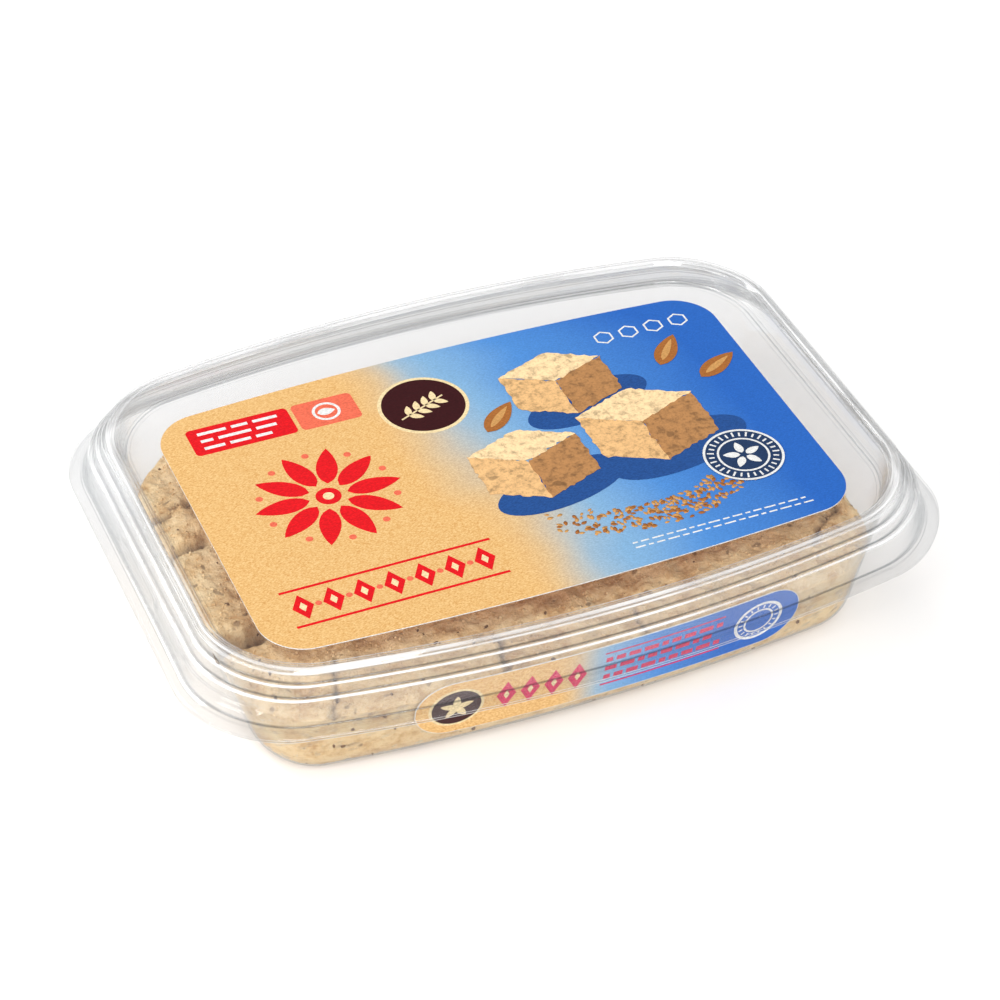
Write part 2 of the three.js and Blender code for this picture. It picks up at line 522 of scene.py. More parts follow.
class GrainScatter:
    """Grains strewn over a surface, as one Geometry Nodes tree for crumbs, flecks and seeds."""

    NAME = "grain_scatter"
    ZONE = "zone"

    @classmethod
    def tree(cls) -> bpy.types.NodeTree:
        """Builds the tree the first time and hands out the same one from then on.

        Returns:
            The tree.
        """
        if cls.NAME in bpy.data.node_groups:
            return bpy.data.node_groups[cls.NAME]
        tree = bpy.data.node_groups.new(cls.NAME, "GeometryNodeTree")
        face = tree.interface
        for name, kind in (
            ("Geometry", "NodeSocketGeometry"),
            ("Grain", "NodeSocketObject"),
            ("Density", "NodeSocketFloat"),
            ("Smallest", "NodeSocketFloat"),
            ("Largest", "NodeSocketFloat"),
            ("Turn", "NodeSocketVector"),
            ("Seed", "NodeSocketInt"),
            ("Material", "NodeSocketMaterial"),
        ):
            face.new_socket(name, in_out="INPUT", socket_type=kind)
        face.new_socket("Geometry", in_out="OUTPUT", socket_type="NodeSocketGeometry")
        nodes = NodeTree(tree)
        given = nodes.add("NodeGroupInput").outputs
        zone = nodes.add("GeometryNodeInputNamedAttribute", {"data_type": "FLOAT"}, Name=cls.ZONE)
        density = nodes.math("MULTIPLY", given["Density"], zone.outputs[0])
        strewn = nodes.add(
            "GeometryNodeDistributePointsOnFaces",
            Mesh=given["Geometry"],
            Density=density,
            Seed=given["Seed"],
        )
        turn = nodes.add("FunctionNodeRandomValue", {"data_type": "FLOAT_VECTOR"}, Seed=given["Seed"])
        nodes.feed(turn.inputs[1], given["Turn"])
        size = nodes.add("FunctionNodeRandomValue", {"data_type": "FLOAT"}, Seed=given["Seed"])
        nodes.feed(size.inputs[2], given["Smallest"])
        nodes.feed(size.inputs[3], given["Largest"])
        grain = nodes.add("GeometryNodeObjectInfo", Object=given["Grain"])
        copies = nodes.add(
            "GeometryNodeInstanceOnPoints",
            Points=strewn.outputs["Points"],
            Instance=grain.outputs["Geometry"],
            Rotation=turn.outputs[0],
            Scale=size.outputs[1],
        )
        real = nodes.add("GeometryNodeRealizeInstances", Geometry=copies.outputs[0])
        dressed = nodes.add(
            "GeometryNodeSetMaterial", Geometry=real.outputs[0], Material=given["Material"]
        )
        out = nodes.add("NodeGroupOutput")
        tree.links.new(dressed.outputs[0], out.inputs[0])
        return tree

    @classmethod
    def spread(
        cls,
        name: str,
        host: bpy.types.Object,
        grain: bpy.types.Object,
        scatter: Scatter,
        material: bpy.types.Material,
    ) -> bpy.types.Object:
        """Strews grains over a host, then removes the host and the grain.

        Args:
            name: The new piece's name.
            host: The surface, with its zone attribute.
            grain: The grain to repeat.
            scatter: How the grains lie.
            material: The grains' finish.

        Returns:
            All the grains as one plain mesh object.
        """
        modifier = host.modifiers.new(cls.NAME, "NODES")
        modifier.node_group = cls.tree()
        values = {
            "Grain": grain,
            "Density": scatter.density,
            "Smallest": scatter.smallest,
            "Largest": scatter.largest,
            "Turn": scatter.turn,
            "Seed": scatter.seed,
            "Material": material,
        }
        for socket in modifier.node_group.interface.items_tree:
            if socket.in_out == "INPUT" and socket.name in values:
                modifier[socket.identifier] = values[socket.name]
        evaluated = host.evaluated_get(bpy.context.evaluated_depsgraph_get())
        data = bpy.data.meshes.new_from_object(evaluated)
        data.name = name
        host.modifiers.remove(modifier)
        for used in (host, grain):
            bpy.data.objects.remove(used)
        piece = bpy.data.objects.new(name, data)
        bpy.context.scene.collection.objects.link(piece)
        return piece


class PaperGrain:
    """The fibre speckle of printed paper, as one shader node group for every printed finish."""

    NAME = "paper_grain"

    @classmethod
    def group(cls) -> bpy.types.NodeTree:
        """Builds the group the first time and hands out the same one from then on.

        Returns:
            The group, which gives a speckle from 0 to 1 and a height.
        """
        if cls.NAME in bpy.data.node_groups:
            return bpy.data.node_groups[cls.NAME]
        tree = bpy.data.node_groups.new(cls.NAME, "ShaderNodeTree")
        face = tree.interface
        face.new_socket("Fibres per metre", in_out="INPUT", socket_type="NodeSocketFloat")
        face.new_socket("Speckle", in_out="OUTPUT", socket_type="NodeSocketFloat")
        face.new_socket("Height", in_out="OUTPUT", socket_type="NodeSocketFloat")
        nodes = NodeTree(tree)
        source = nodes.add("NodeGroupInput")
        place = nodes.add("ShaderNodeTexCoord")
        speckles = []
        for turn, share in ((0.5, 1.0), (-0.7, 1.3)):
            mapping = nodes.add(
                "ShaderNodeMapping",
                Vector=place.outputs["Object"],
                Rotation=(0.0, 0.0, turn),
                Scale=(1.0, 2.4, 1.0),
            )
            scale = nodes.math("MULTIPLY", source.outputs[0], share)
            texture = nodes.add(
                "ShaderNodeTexNoise", Vector=mapping.outputs[0], Scale=scale, Detail=2.0, Roughness=0.6
            )
            speckles.append(texture.outputs[0])
        both = nodes.math("MULTIPLY", speckles[0], speckles[1])
        speckle = nodes.add(
            "ShaderNodeMapRange", Value=both, From_Min=0.16, From_Max=0.35
        ).outputs[0]
        out = nodes.add("NodeGroupOutput")
        tree.links.new(speckle, out.inputs["Speckle"])
        tree.links.new(both, out.inputs["Height"])
        return tree

    @classmethod
    def place(cls, nodes: NodeTree, fibres: float) -> bpy.types.Node:
        """Puts the group in a material.

        Args:
            nodes: The material's tree.
            fibres: Fibres to a metre.

        Returns:
            The group node.
        """
        node = nodes.add("ShaderNodeGroup")
        node.node_tree = cls.group()
        node.inputs[0].default_value = fibres
        return node


@dataclass(frozen=True)
class ClearSheet:
    """Clear thermoformed sheet: it mirrors at a slant, greys and hazes where it is seen edge on.

    Attributes:
        name: The material's name.
        face: Colour of the light let through square on.
        slant: Colour of the light let through at a grazing angle.
        index: Refractive index, which sets how much it mirrors.
        roughness: Blur of what it mirrors.
        haze: Share of milky haze square on.
        rim_haze: Further haze at a grazing angle.
        shadow: Colour of the light that one surface lets through to the shadows.
        fold_highlight: Share of painted highlight, in the haze's colour, along the folds that turn out.
        fold_shade: Light let through along the folds that turn in, greyed as painted shade.
        wave_scale: Waves to a metre of the sheet's uneven face.
        wave_strength: Strength of those waves.
        wave_height: Height of those waves in metres.
        slant_power: How late the slant's colour and haze set in, more for later.
        streak_span: Values of the waves between which the painted highlights along the folds show more
            and more.
        streak_floor: Least share of the painted highlight left along a fold that turns out.
        haze_and_highlight: Colour of the haze and of the painted highlights along the folds.
    """

    name: str = "clear_sheet"
    face: Colour = (0.965, 0.966, 0.967)
    slant: Colour = (0.55, 0.57, 0.58)
    index: float = 1.35
    roughness: float = 0.03
    haze: float = 0.006
    rim_haze: float = 0.10
    shadow: Colour = (0.993, 0.994, 0.995)
    fold_highlight: float = 0.45
    fold_shade: Colour = (0.80, 0.81, 0.82)
    wave_scale: float = 38.0
    wave_strength: float = 0.016
    wave_height: float = 0.002
    slant_power: float = 4.5
    streak_span: Pair = (0.38, 0.60)
    streak_floor: float = 0.35
    haze_and_highlight: Colour = (0.92, 0.92, 0.92)

    def build(self) -> bpy.types.Material:
        """Makes the material. It reads the sheet's own fold attribute.

        Returns:
            The material.
        """
        material, nodes, out = new_material(self.name)
        place = nodes.add("ShaderNodeTexCoord")
        wave = nodes.add(
            "ShaderNodeTexNoise", Vector=place.outputs["Object"], Scale=self.wave_scale, Detail=2.0
        )
        normal = nodes.add(
            "ShaderNodeBump",
            Height=wave.outputs[0],
            Strength=self.wave_strength,
            Distance=self.wave_height,
        ).outputs[0]
        facing = nodes.add("ShaderNodeLayerWeight", Blend=0.5, Normal=normal).outputs["Facing"]
        steep = nodes.math("POWER", facing, self.slant_power)
        tint = nodes.mix(steep, (*self.face, 1.0), (*self.slant, 1.0))
        fold = nodes.add("ShaderNodeAttribute", {"attribute_name": FormedSheet.FOLD}).outputs["Fac"]
        # Painted highlights along folds that turn out, painted shade along folds that turn in.
        highlight_mask = nodes.math("POWER", nodes.math("MAXIMUM", fold, 0.0), 2.0)
        sunk = nodes.math("MAXIMUM", nodes.math("MULTIPLY", fold, -1.0), 0.0)
        shade_mask = nodes.math("POWER", sunk, 2.0)
        tint = nodes.mix(shade_mask, tint, nodes.mix(1.0, tint, (*self.fold_shade, 1.0), "MULTIPLY"))
        streak = nodes.add(
            "ShaderNodeMapRange",
            Value=wave.outputs[0],
            From_Min=self.streak_span[0],
            From_Max=self.streak_span[1],
            To_Min=self.streak_floor,
        ).outputs[0]
        through = nodes.add("ShaderNodeBsdfTransparent", Color=tint)
        mirror = nodes.add(
            "ShaderNodeBsdfAnisotropic",
            Color=(1.0, 1.0, 1.0, 1.0),
            Roughness=self.roughness,
            Normal=normal,
        )
        behind = nodes.add("ShaderNodeNewGeometry").outputs["Backfacing"]
        index = nodes.math("MULTIPLY_ADD", behind, 1 / self.index - self.index, self.index)
        fresnel = nodes.add("ShaderNodeFresnel", IOR=index, Normal=normal)
        sheet = nodes.add("ShaderNodeMixShader", Fac=fresnel.outputs[0])
        nodes.feed(sheet.inputs[1], through.outputs[0])
        nodes.feed(sheet.inputs[2], mirror.outputs[0])
        # The white haze also carries the painted fold highlights.
        haze_and_highlight = nodes.add("ShaderNodeBsdfDiffuse", Color=(*self.haze_and_highlight, 1.0))
        share = nodes.math("MULTIPLY_ADD", steep, self.rim_haze, self.haze)
        highlight_share = nodes.math("MULTIPLY", nodes.math("MULTIPLY", highlight_mask, streak), self.fold_highlight)
        share = nodes.math("ADD", share, highlight_share)
        hazed_and_highlit = nodes.add("ShaderNodeMixShader", Fac=share)
        nodes.feed(hazed_and_highlit.inputs[1], sheet.outputs[0])
        nodes.feed(hazed_and_highlit.inputs[2], haze_and_highlight.outputs[0])
        nodes.feed(out.inputs["Surface"], pass_shadows(nodes, hazed_and_highlit.outputs[0], self.shadow))
        return material


@dataclass(frozen=True)
class CrumbFinish:
    """Sesame paste: pale tan, mottled with fine crumbs.

    It has painted shade in its cracks, dips and voids, and is darker where pressed against the plastic.

    Attributes:
        name: The material's name.
        pale: Colour of the lightest patches and crumbs.
        middle: Colour between the light and the dark patches.
        deep: Colour of the darkest patches.
        hollow: Colour of the painted shade in cracks, dips and voids, and of the paste's own dark specks.
        pressed: What the colour is multiplied by where the paste touches the plastic.
        roughness: Blur of what it mirrors.
        crumb_scale: Crumbs to a metre.
        mottle_scale: Patches to a metre.
        bump: Strength of the crumbs' relief.
        relief: Height of the crumbs' relief in metres.
        patch_ratio: Worn patches for each patch of mottle.
        flake_ratio: Flakes for each crumb.
        speck_ratio: Dark specks for each crumb.
        stops: Values of the mottle at which deep, middle and pale are reached.
        worn_share: How far a worn patch goes to the deep colour.
        pale_share: How far a crumb goes to the pale colour.
        speck_share: How far a speck goes to the hollow colour.
    """

    name: str = "halva_crumb"
    pale: Colour = (0.84, 0.645, 0.38)
    middle: Colour = (0.77, 0.54, 0.28)
    deep: Colour = (0.55, 0.32, 0.13)
    hollow: Colour = (0.11, 0.045, 0.016)
    pressed: Colour = (0.86, 0.85, 0.82)
    roughness: float = 0.8
    crumb_scale: float = 1100.0
    mottle_scale: float = 120.0
    bump: float = 0.8
    relief: float = 0.0006
    patch_ratio: float = 3.4
    flake_ratio: float = 0.45
    speck_ratio: float = 0.3
    stops: tuple[float, float, float] = (0.37, 0.47, 0.58)
    worn_share: float = 0.6
    pale_share: float = 0.4
    speck_share: float = 0.6

    def build(self) -> bpy.types.Material:
        """Makes the material. It reads the mesh's painted shade and pressed attributes.

        Returns:
            The material.
        """
        material, nodes, out = new_material(self.name)
        place = nodes.add("ShaderNodeTexCoord").outputs["Object"]
        mottle = nodes.add(
            "ShaderNodeTexNoise", Vector=place, Scale=self.mottle_scale, Detail=4.0, Roughness=0.7
        )
        patch = nodes.add(
            "ShaderNodeTexNoise",
            Vector=place,
            Scale=self.mottle_scale * self.patch_ratio,
            Detail=3.0,
            Roughness=0.7,
        )
        crumb = nodes.add(
            "ShaderNodeTexNoise", Vector=place, Scale=self.crumb_scale, Detail=3.0, Roughness=0.6
        )
        flakes = self.crumb_scale * self.flake_ratio
        flake = nodes.add("ShaderNodeTexVoronoi", Vector=place, Scale=flakes)
        specks = self.crumb_scale * self.speck_ratio
        speck = nodes.add("ShaderNodeTexNoise", Vector=place, Scale=specks, Detail=1.0)
        tones = (self.deep, self.middle, self.pale)
        colour = nodes.ramp(mottle.outputs[0], tuple(zip(self.stops, tones)))
        worn = nodes.add("ShaderNodeMapRange", Value=patch.outputs[0], From_Min=0.50, From_Max=0.66)
        faded = nodes.math("MULTIPLY", worn.outputs[0], self.worn_share)
        colour = nodes.mix(faded, colour, (*self.deep, 1.0))
        grain = nodes.add("ShaderNodeMapRange", Value=crumb.outputs[0], From_Min=0.38, From_Max=0.62)
        lighter = nodes.math("MULTIPLY", grain.outputs[0], self.pale_share)
        colour = nodes.mix(lighter, colour, (*self.pale, 1.0))
        dark = nodes.add("ShaderNodeMapRange", Value=speck.outputs[0], From_Min=0.69, From_Max=0.74)
        darker = nodes.math("MULTIPLY", dark.outputs[0], self.speck_share)
        colour = nodes.mix(darker, colour, (*self.hollow, 1.0))
        touching = nodes.add("ShaderNodeAttribute", {"attribute_name": "pressed"}).outputs["Fac"]
        colour = nodes.mix(touching, colour, nodes.mix(1.0, colour, (*self.pressed, 1.0), "MULTIPLY"))
        # Painted shade in the cracks, dips and voids, read from the mesh.
        sunk = nodes.add("ShaderNodeAttribute", {"attribute_name": "hollow"}).outputs["Fac"]
        colour = nodes.mix(sunk, colour, (*self.hollow, 1.0))
        rise = nodes.math("MULTIPLY_ADD", flake.outputs["Distance"], 0.5, crumb.outputs[0])
        bump = nodes.add("ShaderNodeBump", Height=rise, Strength=self.bump, Distance=self.relief)
        shader = nodes.add(
            "ShaderNodeBsdfPrincipled",
            Base_Color=colour,
            Roughness=self.roughness,
            Normal=bump.outputs[0],
        )
        nodes.feed(out.inputs["Surface"], shader.outputs[0])
        return material


@dataclass(frozen=True)
class PlainFinish:
    """One colour with a little paper grain in it.

    Attributes:
        name: The material's name.
        colour: Its colour at the lightest of the grain.
        roughness: Blur of what it mirrors.
        darkening: Share of the colour lost at the darkest of the grain.
        fibres: Paper fibres to a metre.
        through: Colour of the light let through to the shadows behind it.
    """

    name: str
    colour: Colour
    roughness: float = 0.42
    darkening: float = 0.3
    fibres: float = 1500.0
    through: Colour = (0.0, 0.0, 0.0)

    def build(self) -> bpy.types.Material:
        """Makes the material.

        Returns:
            The material.
        """
        material, nodes, out = new_material(self.name)
        grain = PaperGrain.place(nodes, self.fibres)
        darker = tuple(channel * (1 - self.darkening) for channel in self.colour)
        share = nodes.math("SUBTRACT", 1.0, grain.outputs["Speckle"])
        colour = nodes.mix(share, (*self.colour, 1.0), (*darker, 1.0))
        shader = nodes.add(
            "ShaderNodeBsdfPrincipled",
            Base_Color=colour,
            Roughness=self.roughness,
            Specular_IOR_Level=PRINT_GLOSS,
        )
        nodes.feed(out.inputs["Surface"], pass_shadows(nodes, shader.outputs[0], self.through))
        return material


@dataclass(frozen=True)
class SkyFadeFinish:
    """Tan wrapping paper that fades through grey green and pale sky to a deep blue.

    Attributes:
        name: The material's name.
        start: Where the tan ends, along X in metres.
        span: Length of the fade in metres.
        lean: How far the fade leans along X for each metre of Y.
        tan: Colour of the paper.
        tan_light: Colour of its lightest fibres.
        tan_deep: Colour of its darkest fibres.
        through: Colour of the light let through to the shadows behind it.
        fibres: Paper fibres to a metre.
        cloud_scale: Clouds to a metre, which make the fade uneven.
        cloud_drift: How far a cloud shifts the fade, in metres.
        tone_low: Least share of the colour left by the grain over the sky.
        tone_span: How much that share rises over the grain.
        tone_share: How far the grain shows over the sky.
        stops: Share of the fade and colour of each stop.
    """

    name: str
    start: float
    span: float
    lean: float
    tan: Colour = (0.73, 0.45, 0.172)
    tan_light: Colour = (0.80, 0.54, 0.25)
    tan_deep: Colour = (0.60, 0.31, 0.095)
    through: Colour = (0.0, 0.0, 0.0)
    fibres: float = 1800.0
    cloud_scale: float = 22.0
    cloud_drift: float = 0.03
    tone_low: float = 0.82
    tone_span: float = 0.3
    tone_share: float = 0.75
    stops: tuple[tuple[float, Colour], ...] = (
        (0.0, (0.77, 0.50, 0.24)),
        (0.13, (0.56, 0.48, 0.34)),
        (0.24, (0.39, 0.47, 0.50)),
        (0.38, (0.21, 0.40, 0.62)),
        (0.62, (0.075, 0.25, 0.61)),
        (1.0, (0.022, 0.125, 0.48)),
    )

    def build(self) -> bpy.types.Material:
        """Makes the material.

        Returns:
            The material.
        """
        material, nodes, out = new_material(self.name)
        place = nodes.add("ShaderNodeTexCoord").outputs["Object"]
        axes = nodes.add("ShaderNodeSeparateXYZ", Vector=place)
        clouds = nodes.add("ShaderNodeTexNoise", Vector=place, Scale=self.cloud_scale, Detail=2.0)
        lean = nodes.math("MULTIPLY_ADD", axes.outputs["Y"], self.lean, axes.outputs["X"])
        drift = nodes.math("MULTIPLY_ADD", clouds.outputs[0], self.cloud_drift, lean)
        past = nodes.math("SUBTRACT", drift, self.start + self.cloud_drift / 2)
        share = nodes.math("DIVIDE", past, self.span)
        grain = PaperGrain.place(nodes, self.fibres).outputs
        fade = nodes.ramp(share, self.stops)
        paper = nodes.ramp(
            grain["Speckle"], ((0.0, self.tan_deep), (0.5, self.tan), (1.0, self.tan_light))
        )
        on_tan = nodes.add("ShaderNodeMapRange", Value=share, From_Min=0.02, From_Max=0.3).outputs[0]
        speckled = nodes.mix(nodes.math("SUBTRACT", 1.0, on_tan), fade, paper)
        soft = nodes.math("MULTIPLY_ADD", grain["Speckle"], self.tone_span, self.tone_low)
        tone = nodes.add("ShaderNodeCombineColor", Red=soft, Green=soft, Blue=soft).outputs[0]
        toned = nodes.mix(1.0, speckled, tone, "MULTIPLY")
        colour = nodes.mix(nodes.math("MULTIPLY", on_tan, self.tone_share), speckled, toned)
        bump = nodes.add("ShaderNodeBump", Height=grain["Height"], Strength=0.08, Distance=0.0002)
        shader = nodes.add(
            "ShaderNodeBsdfPrincipled",
            Base_Color=colour,
            Roughness=0.4,
            Specular_IOR_Level=PRINT_GLOSS,
            Normal=bump.outputs[0],
        )
        nodes.feed(out.inputs["Surface"], pass_shadows(nodes, shader.outputs[0], self.through))
        return material


@dataclass
class FormedSheet:
    """A sheet of clear plastic formed to a section that follows the pack's plan.

    Attributes:
        FOLD: Name of the mesh attribute that says how sharply the sheet folds.
        name: The piece's name.
        plan: The pack seen from above.
        face: The section's upper or inner face.
        thickness: The sheet's thickness.
        corner: Radius of the section's corners.
        longest_step: Longest step along the section.
        marks: Marks pressed into it.
    """

    FOLD: ClassVar[str] = "fold"

    name: str
    plan: PackPlan
    face: Path
    thickness: float = 0.5
    corner: float = 0.55
    longest_step: float = 0.4
    marks: tuple[PressedMark, ...] = ()

    def section(self) -> Path:
        """The middle of the sheet from the flange's edge inwards, with its corners rounded."""
        middle = offset_path(self.face, self.thickness / 2)
        return subdivided_path(rounded_path(middle, self.corner), self.longest_step)

    def surface(self, middle: Path, distance: float) -> list[np.ndarray]:
        """Rings of one face of the sheet.

        Args:
            middle: The middle of the sheet.
            distance: How far the face is from it, more than 0 below or inside.

        Returns:
            One ring for each point of the section.
        """
        normals = path_normals(middle)
        steps = [math.dist(a, b) for a, b in zip(middle, middle[1:])]
        stations = np.concatenate([[0], np.cumsum(steps)])
        guide = self.plan.ring(0.0)
        push = np.zeros((len(middle), len(guide)))
        for mark in self.marks:
            push += mark.amount(guide, stations)
        rings = []
        for (inset, height), normal, moved in zip(middle, normals, push):
            along = normal[0] * (distance + moved)
            flat = self.plan.ring(inset) + self.plan.rate(inset) * along[:, None]
            rise = height + normal[1] * (distance + moved)
            rings.append(np.column_stack([flat, rise]))
        return rings

    def folds(self, middle: Path) -> np.ndarray:
        """Works out how sharply the section turns at each of its points.

        Args:
            middle: The middle of the sheet.

        Returns:
            The turn at each point, from -1 inwards to 1 outwards.
        """
        along = np.diff(np.array(middle), axis=0)
        heading = np.unwrap(np.arctan2(along[:, 1], along[:, 0]))
        length = np.linalg.norm(along, axis=1)
        bend = np.zeros(len(middle))
        bend[1:-1] = -np.diff(heading) / (0.5 * (length[1:] + length[:-1]))
        return np.clip(bend * self.corner, -1, 1)

    def build(self, material: bpy.types.Material) -> bpy.types.Object:
        """Makes the sheet.

        Args:
            material: Its finish.

        Returns:
            One closed piece, with an attribute for its folds.
        """
        middle = self.section()
        half = self.thickness / 2
        upper = self.surface(middle, -half)
        lower = self.surface(middle, half)
        points, faces = stacked_rings([*reversed(upper), *lower])
        piece = make_piece(self.name, points, faces)
        piece.data.materials.append(material)
        folds = self.folds(middle)
        values = np.repeat(np.concatenate([folds[::-1], folds]), len(upper[0]))
        values = np.concatenate([values, [0.0, 0.0]])
        piece.data.attributes.new(self.FOLD, "FLOAT", "POINT").data.foreach_set("value", values)
        return piece


@dataclass(frozen=True)
class PackSections:
    """The sections of lid and tub, as [inset from the flange's edge, height] in millimetres."""

    sheet: float = 0.5
    rim_play: float = 0.2
    flange: tuple[Pair, ...] = ((0, 28.5), (2.3, 28.85), (2.9, 29.05))
    steps: tuple[Pair, ...] = ((4.4, 35.0), (5.3, 35.25), (6.1, 37.5), (6.9, 37.75))
    crown: tuple[Pair, ...] = ((7.4, 39.7), (8.4, 40.6), (9.85, 40.6), (10.85, 39.7))
    well: tuple[Pair, ...] = ((12.1, 35.95), (12.45, 35.5), (13.15, 35.35))
    panel_inset: float = 16.0
    tub_crown: tuple[Pair, ...] = ((9.35, 39.9), (9.85, 39.35))
    wall_draft: float = math.radians(13.1)
    floor_radius: float = 9.0
    floor_steps: int = 14

    @property
    def panel_height(self) -> float:
        """Height of the lid's sunk panel."""
        return self.well[-1][1]

    def lid_face(self) -> Path:
        """The lid's upper face."""
        panel = (self.panel_inset, self.panel_height)
        return [*self.flange, *self.steps, *self.crown, *self.well, panel]

    def wall_inset(self, height: float) -> float:
        """Inset of the tub's inner wall at a height."""
        inset, top = self.tub_crown[-1]
        return inset + (top - height) * math.tan(self.wall_draft)

    def floor_path(self) -> Path:
        """Rounds the tub's inner face at its floor.

        Returns:
            The path from the foot of the wall to the floor.
        """
        arc_height = self.sheet + self.floor_radius
        start = arc_height - self.floor_radius * math.sin(self.wall_draft)
        arc_inset = self.wall_inset(start) + self.floor_radius * math.cos(self.wall_draft)
        path = []
        for i in range(self.floor_steps + 1):
            turn = self.wall_draft + i / self.floor_steps * (math.pi / 2 - self.wall_draft)
            path.append((
                arc_inset - self.floor_radius * math.cos(turn),
                arc_height - self.floor_radius * math.sin(turn),
            ))
        return path

    def tub_face(self) -> Path:
        """Joins the tub's rim, nested under the lid's, to its wall and floor.

        Returns:
            The tub's inner face.
        """
        nested = [*self.flange, *self.steps, *self.crown[:3]]
        rim = offset_path(nested, self.sheet + self.rim_play)[:-1]
        floor = self.floor_path()
        return [*rim, *self.tub_crown, *floor, (floor[-1][0] + 3.0, self.sheet)]


@dataclass(frozen=True)
class Lumps:
    """Smooth seeded lumps of a given height and span, as in the solid part."""

    height: float
    span: float
    seed: int

    def at(self, x: np.ndarray, y: np.ndarray) -> np.ndarray:
        """Works out the lumps at some points.

        Args:
            x: X of each point.
            y: Y of each point.

        Returns:
            The height at each point.
        """
        i = np.floor(x / self.span)
        j = np.floor(y / self.span)
        u = self.ease(x / self.span - i)
        v = self.ease(y / self.span - j)
        low = self.corner(i, j) * (1 - u) + self.corner(i + 1, j) * u
        high = self.corner(i, j + 1) * (1 - u) + self.corner(i + 1, j + 1) * u
        return self.height * (low * (1 - v) + high * v)

    def corner(self, i: np.ndarray, j: np.ndarray) -> np.ndarray:
        """Random value at a corner of the lattice."""
        scatter = np.sin(i * 127.1 + j * 311.7 + self.seed) * 43758.5453
        return 2 * (scatter - np.floor(scatter)) - 1

    @staticmethod
    def ease(share: np.ndarray) -> np.ndarray:
        """Eases a share from 0 to 1 in and out."""
        return share * share * (3 - 2 * share)


@dataclass(frozen=True)
class Crack:
    """A crack in the halva's top, in millimetres.

    Attributes:
        start: Where it starts.
        end: Where it ends.
        depth: How deep it is along its line.
        half: Distance from its line at which it is about a third as deep.
    """

    start: Pair
    end: Pair
    depth: float
    half: float

    def amount(self, x: np.ndarray, y: np.ndarray) -> np.ndarray:
        """Works out how deep the crack is at some points.

        Args:
            x: X of each point.
            y: Y of each point.

        Returns:
            The share of its full depth at each point.
        """
        start = np.array(self.start)
        run = np.array(self.end) - start
        share = np.clip(((x - start[0]) * run[0] + (y - start[1]) * run[1]) / (run @ run), 0, 1)
        away = np.hypot(x - start[0] - share * run[0], y - start[1] - share * run[1])
        return np.exp(-((away / self.half) ** 2))


